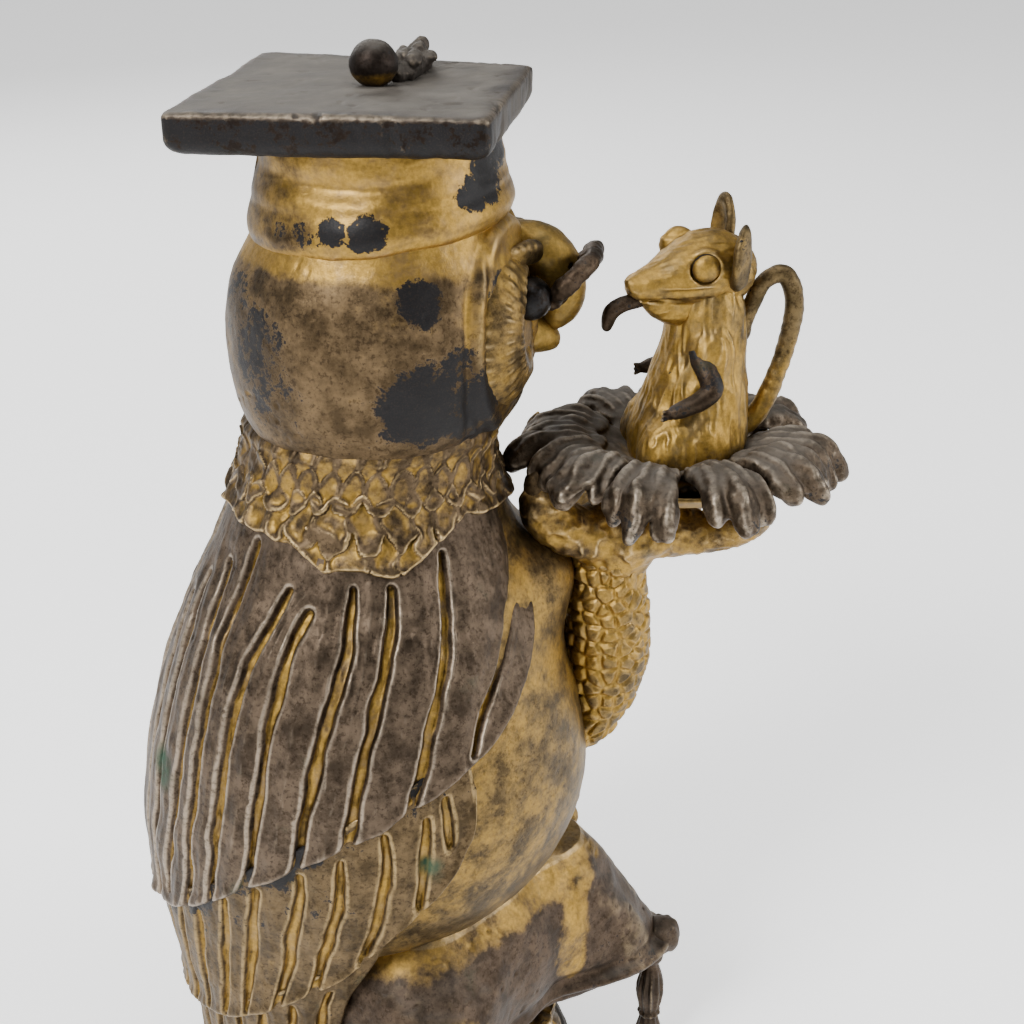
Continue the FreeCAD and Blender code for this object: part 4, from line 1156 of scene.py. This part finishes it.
def mouse():
    clay = Clay((46, -18, 154), (86, 18, 203), 0.32)
    clay.egg((65, 0, 165.2), (11.6, 11.8, 10.3))
    clay.chain([(65.5, 0, 168), (66.6, 0, 177), (67.4, 0, 186), (67.2, -0.5, 194)], [10.0, 7.9, 6.3, 5.6], radius=3)
    for side in (-1, 1):
        clay.egg((62.0, 7.8 * side, 164.5), (8.6, 5.0, 8.0), tip=-15, radius=2.5)
        clay.chain([(56, 7.5 * side, 160.5), (50.5, 8.2 * side, 159.8)], [2.6, 1.9], radius=1.5)
        clay.egg((67.0, 7.2 * side, 184.5), (3.6, 2.6, 4.4), radius=2.0)
    verts, faces = clay.mesh()
    verts = displace(verts, faces, fur(verts, 801))
    add_piece("mouse_body_cast", ["mouse_body"], verts, faces, MOUSE_PATINA, gold=0.38,
              dark=0.25 * ramp(noise(verts, 6, 803, 2), 0.2, 0.7))

    clay = Clay((47, -12, 189), (80, 13, 214), 0.26)
    clay.chain([(52.9, -4.7, 197.6), (56, -3.9, 197.5), (61.5, -2.2, 198.5), (66.8, -0.2, 199.1), (70.8, 0.8, 198.6)],
               [2.0, 3.0, 5.1, 6.5, 5.7], radius=1.5)
    clay.chain([(55.3, -4.2, 194.4), (60, -2.7, 192.4), (65, -0.8, 193.2)], [1.4, 2.7, 4.3], radius=1.2)
    clay.egg((51.9, -4.8, 198.3), (1.5, 1.7, 1.3), radius=0.5)
    clay.bar((51.6, -5.4, 195.9), (60.5, -7.0, 194.6), 0.4, 0.6, radius=0.4, cut=True)
    clay.bar((51.6, -3.9, 195.9), (61.5, 2.8, 194.9), 0.4, 0.6, radius=0.4, cut=True)
    for x, y, z in ((65.2, -6.2, 201.0), (62.2, 4.2, 202.6)):
        clay.egg((x, y * 0.92, z), (3.5, 2.2, 3.4), radius=0.6)
        clay.egg((x - 0.3, y * 1.16, z), (3.0, 1.2, 3.0), radius=0.5, cut=True)
    verts, faces = clay.mesh()
    verts = displace(verts, faces, fur(verts, 811, grain=(0.3, 1, 1), depth=0.4))
    add_piece("mouse_head_cast", ["mouse_head"], verts, faces, MOUSE_PATINA, gold=0.42, dark=0.05)

    clay = Clay((55, -12, 196), (72, 10, 210), 0.2)
    clay.egg((65.1, -6.7, 201.0), (2.7, 1.8, 2.7))
    clay.egg((62.0, 4.8, 202.6), (2.7, 1.8, 2.7))
    verts, faces = clay.mesh()
    add_piece("mouse_eyes_cast", ["mouse_eyes"], verts, faces, MOUSE_PATINA, slot="black_bronze", gold=0.4,
              dark=0.9 * ramp(np.minimum(np.abs(verts[:, 1] + 6.7), np.abs(verts[:, 1] - 4.8)), 0.8, 0.2))

    for name, base, tip, width in (("right", (71.3, -5.4, 198.6), (72.1, -7.0, 205.9), 3.9),
                                   ("left", (71.1, 5.0, 201.5), (71.4, 5.8, 209.2), 3.1)):
        clay = Clay((62, -15, 194), (82, 14, 217), 0.22)
        base, tip = np.array(base), np.array(tip)
        middle = base * 0.45 + tip * 0.55
        turn = -28 if name == "right" else 24
        clay.egg(middle, (1.5, width, 6.2), turn=turn, tip=4)
        clay.bar(base, middle, 2.0, 1.6, radius=1.5)
        clay.bar(middle, tip + [0, 0, 1.2], 1.4, 0.5, radius=1.0)
        scoop = np.array([math.cos(math.radians(turn)), math.sin(math.radians(turn)), 0])
        clay.egg(middle - scoop * 1.5 + [0, 0, 0.3], (1.25, width * 0.66, 4.6), turn=turn, tip=4, radius=0.6, cut=True)
        verts, faces = clay.mesh()
        verts = displace(verts, faces, 0.16 * noise(verts, 2.2, 821, 2))
        add_piece("mouse_" + name + "_ear_cast", ["mouse_" + name + "_ear"], verts, faces, MOUSE_PATINA,
                  gold=0.1, dark=0.35 * ramp(verts[:, 2], base[2] + 2, tip[2]), rounds=5)

    clay = Clay((43, -10, 186), (60, 2, 200), 0.18)
    clay.chain([(56.5, -4.1, 195.2), (53.0, -4.5, 194.8), (50.2, -4.8, 194.2), (48.0, -5.0, 192.8),
                (47.3, -5.0, 190.2)],
               [1.2, 1.3, 1.3, 1.3, 1.0], radius=0.5)
    verts, faces = clay.mesh()
    verts = cast_skin(verts, faces, 831, lump=0.12, grain=0.04, lump_size=2)
    add_piece("mouse_tongue_cast", ["mouse_tongue"], verts, faces, DARK_PATINA, gold=0.0, dark=0.35, rounds=5)

    for side, name in ((-1, "right"), (1, "left")):
        clay = Clay((52, -18 if side < 0 else 3, 168), (76, -3 if side < 0 else 18, 190), 0.2)
        place = [(64.4, 6.4, 184.6), (66.0, 9.8, 181.0), (66.4, 10.8, 178.4), (63.4, 11.6, 176.6), (59.0, 12.4, 175.2)]
        clay.chain([(x, y * side, z) for x, y, z in place], [2.0, 1.9, 1.9, 1.7, 1.3], radius=0.5)
        for drop in (-0.9, 0, 0.9):
            clay.bar((59.2, 12.4 * side, 175.2), (57.0, (12.6 + 0.3 * drop) * side, 174.8 + drop), 0.8, 0.4, radius=0.3)
        verts, faces = clay.mesh()
        verts = cast_skin(verts, faces, 841, lump=0.12, grain=0.05, lump_size=2)
        add_piece("mouse_" + name + "_arm_cast", ["mouse_" + name + "_arm"], verts, faces, DARK_PATINA, gold=-0.1,
                  dark=0.5, rounds=8)

    clay = Clay((70, -5, 162), (89, 5, 203), 0.25)
    clay.chain([(75.5, 0, 166.5), (79, 0, 169.2), (81.6, 0, 175), (84.0, 0, 184), (84.7, 0, 192), (82.2, 0, 197.2),
                (78.5, 0, 196.0), (76.2, 0, 191.4), (74.6, 0, 186.5)],
               [2.3, 1.9, 1.75, 1.7, 1.7, 1.6, 1.5, 1.5, 1.5], radius=0.6)
    clay.egg((74.3, 0, 186.0), (2.0, 1.9, 1.9), radius=1)
    verts, faces = clay.mesh()
    verts = cast_skin(verts, faces, 851, lump=0.15, grain=0.05, lump_size=3)
    add_piece("mouse_tail_cast", ["mouse_tail"], verts, faces, MOUSE_PATINA,
              gold=0.12 + 0.3 * ramp(188 - verts[:, 2], 0, 10), dark=0.35 * ramp(verts[:, 2], 186, 195), rounds=5)


# ---------------------------------------------------------------- cushion and base
CUSHION = [(31, 33, 32, 30, 27), (33.5, 47, 45, 35, 31), (36.5, 55, 53, 38, 32), (38.8, 58.2, 56.5, 39.4, 32.4),
           (41.5, 56.6, 54.5, 39, 33), (47, 53.0, 49, 38, 34.5), (55, 48.0, 44, 36.5, 35), (64, 42.8, 38.5, 33.5, 32.5),
           (71, 37.5, 31, 28, 27)]
CUSHION_CENTRE = 8.0
CORNERS = (("front", 1, 0, 58.0), ("right", 0, -1, 56.0), ("left", 0, 1, 56.0))


def cushion():
    """A plump square cushion of cast cloth with pulled-out corners, a corded seam and slack folds."""
    rows, columns = 210, 560
    knots = np.arange(len(CUSHION))
    steps = np.linspace(0, len(CUSHION) - 1, rows)
    z, front, side, back, waist = (curve(steps, knots, [row[k] for row in CUSHION])[:, None] for k in range(5))
    theta = np.linspace(-np.pi, np.pi, columns, endpoint=False)[None, :]
    corner = np.where(np.cos(theta) > 0, front, back) * np.cos(theta) ** 2 + side * np.sin(theta) ** 2
    pull = np.abs(np.cos(2 * theta)) ** 4.2
    radius = waist + (corner - waist) * pull
    x, y = CUSHION_CENTRE + radius * np.cos(theta), radius * np.sin(theta)
    verts, faces = closed_tube(np.stack([x, y, np.broadcast_to(z, x.shape)], -1))
    seam = bell(verts[:, 2], 38.8, 1.3)
    turn = np.arctan2(verts[:, 1], verts[:, 0] - CUSHION_CENTRE)
    reach = np.hypot(verts[:, 0] - CUSHION_CENTRE, verts[:, 1])
    cord = 0.3 * noise(verts, 3.5, 908, 2)
    near_corner = np.abs(np.cos(2 * turn)) ** 6
    height = 1.1 * seam * (1 + 0.25 * cord) - 0.5 * bell(verts[:, 2], 42, 1.2) - 0.5 * bell(verts[:, 2], 35.8, 1.0)
    folds = np.sin(turn * 26 + 2.5 * noise(verts, 12, 901, 2)) * ramp(reach, 34, 50)
    height += 0.55 * folds * (1 - seam) * near_corner
    height += 1.1 * noise(verts, 19, 902, 2) + 0.45 * noise(verts, 7, 903, 2) + 0.12 * noise(verts, 2, 904, 2)
    height -= 0.25 * ramp(noise(verts, 1.8, 905, 1), 0.45, 0.7)
    verts = displace(verts, faces, height)
    up = vertex_normals(verts, faces)[:, 2]
    seat = np.hypot(verts[:, 0] + 3, verts[:, 1] * 1.02)
    by_seat = np.clip(bell(seat, 47.5, 3.2) * ramp(verts[:, 2], 40, 46) * 1.3 + ramp(verts[:, 2], 60, 68), 0, 1)
    add_piece("cushion_cast", ["cushion"], verts, faces, CUSHION_PATINA, slot="dark_bronze",
              gold=0.95 * by_seat - 0.1,
              dark=0.35 * (1 - by_seat) * ramp(noise(verts, 9, 906, 2), -0.2, 0.5) - 0.4 * by_seat,
              dusty=0.35 * ramp(up, 0.35, 0.8) * (1 - by_seat) * ramp(noise(verts, 6, 907, 2), -0.4, 0.5), rounds=10)


def knobs_and_tassels():
    shapes = []
    for k, (name, dx, dy, reach) in enumerate(CORNERS):
        x, y = CUSHION_CENTRE + dx * (reach - 0.5), dy * (reach - 0.5)
        clay = Clay((x - 8, y - 8, 30), (x + 8, y + 8, 47), 0.25)
        clay.egg((x, y, 38.6), (4.3, 4.3, 4.4))
        for turn in np.radians(np.arange(0, 360, 45) + 10 * k):
            clay.egg((x + 2.6 * math.cos(turn), y + 2.6 * math.sin(turn), 38.6), (1.7, 1.7, 3.8), radius=0.5)
        verts, faces = clay.mesh()
        shapes.append((cast_skin(verts, faces, 911 + k, lump=0.25, grain=0.08, lump_size=3), faces))

        tx, ty = x - 2.0 * dx, y - 2.0 * dy
        clay = Clay((tx - 6, ty - 6, 2), (tx + 6, ty + 6, 39), 0.22)
        clay.bar((x - 1.0 * dx, y - 1.0 * dy, 36), (tx, ty, 33), 2.0, 1.8, radius=0.8)
        clay.egg((tx, ty, 32.4), (2.7, 2.7, 2.2), radius=0.5)
        clay.bar((tx, ty, 30.6), (tx, ty, 28.4), 1.7, 1.9, radius=0.4)
        clay.chain([(tx, ty, 27.6), (tx, ty, 22.5), (tx, ty, 16.8)], [2.3, 3.0, 2.3], radius=0.4)
        clay.egg((tx, ty, 15.2), (2.7, 2.7, 1.2), radius=0.4)
        clay.chain([(tx, ty, 13.4), (tx, ty, 9.5), (tx, ty, 7.0)], [2.1, 2.7, 2.5], radius=0.4)
        verts, faces = clay.mesh()
        turn = np.arctan2(verts[:, 1] - ty, verts[:, 0] - tx)
        strands = np.sin(turn * 11 + 0.9 * noise(verts, 4, 921 + k, 1) + verts[:, 2] * 0.05)
        skirt = np.clip(bell(verts[:, 2], 21.5, 5.5) + bell(verts[:, 2], 8.5, 4.0), 0, 1)
        verts = displace(verts, faces, 0.30 * strands * skirt + 0.12 * noise(verts, 2, 925 + k, 2))
        add_piece(name + "_tassel_cast", [name + "_tassel"], verts, faces, DARK_PATINA, gold=0.15, dark=0.12,
                  dusty=0.05, rounds=4)
    verts, faces = joined(*shapes)
    add_piece("corner_knobs_cast", ["corner_knobs"], verts, faces, DARK_PATINA, gold=0.1, dusty=0.1, dark=0.1, rounds=6)


def turned_piece(profile, rows, columns):
    """A solid of revolution about Z through (radius, height) points, lowest first."""
    knots = np.arange(len(profile))
    steps = np.linspace(0, len(profile) - 1, rows)
    radius, height = (np.interp(steps, knots, [p[k] for p in profile]) for k in (0, 1))
    theta = np.radians(np.linspace(0, 360, columns, endpoint=False))[None, :]
    x, y = radius[:, None] * np.cos(theta), radius[:, None] * np.sin(theta)
    return closed_tube(np.stack([x, y, np.broadcast_to(height[:, None], x.shape)], -1))


def stump():
    verts, faces = turned_piece([(34, 12.2), (42.3, 12.2), (42.0, 14), (40.2, 17), (39.2, 21), (39, 25), (39.6, 29),
                                 (39.8, 30.6), (38, 31), (30, 31)], 120, 620)
    turn = np.arctan2(verts[:, 1], verts[:, 0])
    side = ramp(np.hypot(verts[:, 0], verts[:, 1]), 35, 38)
    ribs = np.abs(np.sin(turn * 21 + 1.6 * noise(verts * [1, 1, 0.5], 16, 931, 2)))
    height = side * (1.0 * ribs - 0.9 + 0.8 * noise(verts * [1, 1, 0.45], 9, 932, 3) + 0.25 * noise(verts, 2.2, 933, 2))
    verts = displace(verts, faces, height)
    add_piece("stump_cast", ["stump"], verts, faces, STUMP_PATINA, gold=0.3 * ramp(0.4 - ribs, 0, 0.4) + 0.2,
              dark=0.2, rounds=6)


def plinth():
    verts, faces = turned_piece([(10, 1.55), (42, 1.55), (43.8, 2.6), (44.5, 4.2), (44.4, 6.2), (43.7, 7.0),
                                 (43.7, 7.6),
                                 (44.5, 8.4), (44.4, 10), (43.4, 11.4), (42.3, 12.0), (12, 12.0)], 130, 560)
    verts = displace(verts, faces, 0.18 * noise(verts, 12, 941, 2) + 0.08 * noise(verts, 2.4, 942, 2)
                     - 0.2 * ramp(noise(verts, 1.7, 943, 1), 0.5, 0.7))
    add_piece("base_plinth_cast", ["base_plinth"], verts, faces, BOARD_PATINA, slot="dark_bronze", gold=-0.1,
              dusty=0.12, dark=0.1)


# ---------------------------------------------------------------- finishes
WING_PATINA = patina("wing_bronze", gilt=0.10, ground=(0.11, 0.0798, 0.055), edge=(0.36, 0.29, 0.215),
                     edge_share=0.7, dust=0.06, black=0.20, seed=1)
MANTLE_PATINA = patina("mantle_gilt", gilt=0.42, ground=(0.132, 0.0908, 0.0468), edge_share=0.4, dust=0.08,
                       black=0.26, seed=5)
BELLY_PATINA = patina("belly_gilt", gilt=0.48, ground=(0.149, 0.102, 0.0468), dust=0.1, black=0.22,
                      edge_share=0.5, seed=9)
HEAD_PATINA = patina("head_gilt", gilt=0.36, ground=(0.138, 0.0935, 0.0495), dust=0.1, black=0.22,
                     edge_share=0.5, seed=13, verdigris=0.05)
FACE_PATINA = patina("face_gilt", gilt=0.5, ground=(0.132, 0.0908, 0.044), dust=0.08, black=0.3, seed=17)
BEAK_PATINA = patina("beak_gilt", gilt=0.8, ground=(0.143, 0.105, 0.044), dust=0.12, black=0.25,
                     verdigris=0.5, seed=19)
CAP_PATINA = patina("cap_gilt", gilt=0.5, ground=(0.143, 0.0935, 0.044), dust=0.15, black=0.2, seed=23,
                    shine=0.03)
BOARD_PATINA = patina("board_bronze", gilt=0.0, ground=(0.04, 0.031, 0.026), edge=(0.484, 0.39, 0.281),
                      dust=0.45, black=0.28, seed=29, verdigris=0.04)
RUFF_PATINA = patina("ruff_gilt", gilt=0.45, ground=(0.12, 0.083, 0.048), edge_share=0.75, dust=0.05,
                     black=0.24, seed=31)
LEG_PATINA = patina("leg_gilt", gilt=0.62, ground=(0.165, 0.116, 0.055), edge_share=1.0, dust=0.05,
                    black=0.22, seed=37)
FOOT_PATINA = patina("foot_gilt", gilt=0.4, ground=(0.121, 0.0825, 0.044), edge_share=0.9, dust=0.1,
                     black=0.3, seed=41)
LEAF_PATINA = patina("leaf_bronze", gilt=0.12, ground=(0.0935, 0.0688, 0.0468), edge=(0.468, 0.39, 0.296),
                     dust=0.4, black=0.26, seed=43)
MOUSE_PATINA = patina("mouse_gilt", gilt=0.55, ground=(0.149, 0.105, 0.0495), edge_share=0.9, dust=0.1,
                      black=0.22, seed=47)
DARK_PATINA = patina("dark_bronze_worn", gilt=0.15, ground=(0.0715, 0.0495, 0.033),
                     edge=(0.515, 0.406, 0.265), dust=0.15, black=0.35, seed=53)
BLACK_PATINA = patina("black_lacquer", gilt=-0.4, ground=(0.0165, 0.0138, 0.0121),
                      edge=(0.195, 0.156, 0.117), dust=0.04, black=0.8, seed=59, shine=0.15)
CUSHION_PATINA = patina("cushion_bronze", gilt=0.16, ground=(0.0825, 0.0578, 0.0396),
                        edge=(0.40, 0.30, 0.17), edge_share=0.4, dust=0.2, black=0.30, seed=61)
STUMP_PATINA = patina("stump_gilt", gilt=0.5, ground=(0.121, 0.0825, 0.044), dust=0.15, black=0.34,
                      seed=67)


def carried_over():
    """The felt and the fasteners keep their own shapes and get their finishes."""
    for node, material in (("felt_pad", felt_material()), ("mounting_stud", steel_material()),
                           ("stud_washer", steel_material()), ("stud_nut", steel_material()),
                           ("saucer_screw", steel_material())):
        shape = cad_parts[node]
        shape.data.materials.clear()
        shape.data.materials.append(material)


# ---------------------------------------------------------------- stage and light
def floor():
    material = bpy.data.materials.new("pale_floor")
    tree = Tree(material)
    tree.links.new(tree.mix(tree.noise(300, 2), (0.90, 0.90, 0.90), (0.94, 0.94, 0.94)),
                   tree.shader.inputs["Base Color"])
    tree.shader.inputs["Roughness"].default_value = 0.9
    tree.shader.inputs["Emission Color"].default_value = (1, 1, 1, 1)
    tree.shader.inputs["Emission Strength"].default_value = 0.85
    mesh = bpy.data.meshes.new("floor")
    reach = 12.0
    corners = [(-reach, -reach, 0), (reach, -reach, 0), (reach, reach, 0), (-reach, reach, 0)]
    mesh.from_pydata(corners, [], [(0, 1, 2, 3)])
    mesh.materials.append(material)
    plane = bpy.data.objects.new("floor", mesh)
    bpy.context.scene.collection.objects.link(plane)


def softbox(name, place, target, size, power, colour=(1, 1, 1)):
    data = bpy.data.lights.new(name, "AREA")
    data.shape, data.size, data.size_y = "RECTANGLE", size[0], size[1]
    data.energy, data.color = power, colour
    lamp = bpy.data.objects.new(name, data)
    lamp.location = place
    lamp.rotation_euler = (Vector(target) - Vector(place)).to_track_quat("-Z", "Y").to_euler()
    bpy.context.scene.collection.objects.link(lamp)


def light():
    middle = (0.01, 0, 0.14)
    softbox("key", (-0.60, -0.55, 0.85), middle, (0.35, 0.35), 15)
    softbox("side", (0.95, -0.30, 0.45), middle, (0.25, 0.7), 7)
    softbox("back", (-0.35, 0.95, 0.75), middle, (0.9, 0.4), 8)
    softbox("top", (0.1, -0.05, 1.3), middle, (0.6, 0.6), 7)
    world = bpy.data.worlds.new("studio")
    bpy.context.scene.world = world
    world.use_nodes = True
    nodes, links = world.node_tree.nodes, world.node_tree.links
    place = nodes.new("ShaderNodeTexCoord")
    split = nodes.new("ShaderNodeSeparateXYZ")
    links.new(place.outputs["Generated"], split.inputs[0])
    shade = nodes.new("ShaderNodeMapRange")
    shade.inputs["From Min"].default_value, shade.inputs["From Max"].default_value = 0.02, 0.5
    shade.inputs["To Min"].default_value, shade.inputs["To Max"].default_value = 0.62, 0.16
    links.new(split.outputs[2], shade.inputs["Value"])
    links.new(shade.outputs[0], nodes["Background"].inputs["Strength"])
    nodes["Background"].inputs["Color"].default_value = (1, 1, 1, 1)


# ---------------------------------------------------------------- the whole object
wing(-1)
wing(1)
mantle()
tail()
body()
ruff()
head()
face(-1)
face(1)
beak()
spectacles()
cap_crown()
mortarboard()
cap_trimmings()
leg()
raised_foot()
standing_foot()
saucer()
leaves()
mouse()
cushion()
knobs_and_tassels()
stump()
plinth()
carried_over()
floor()
light()
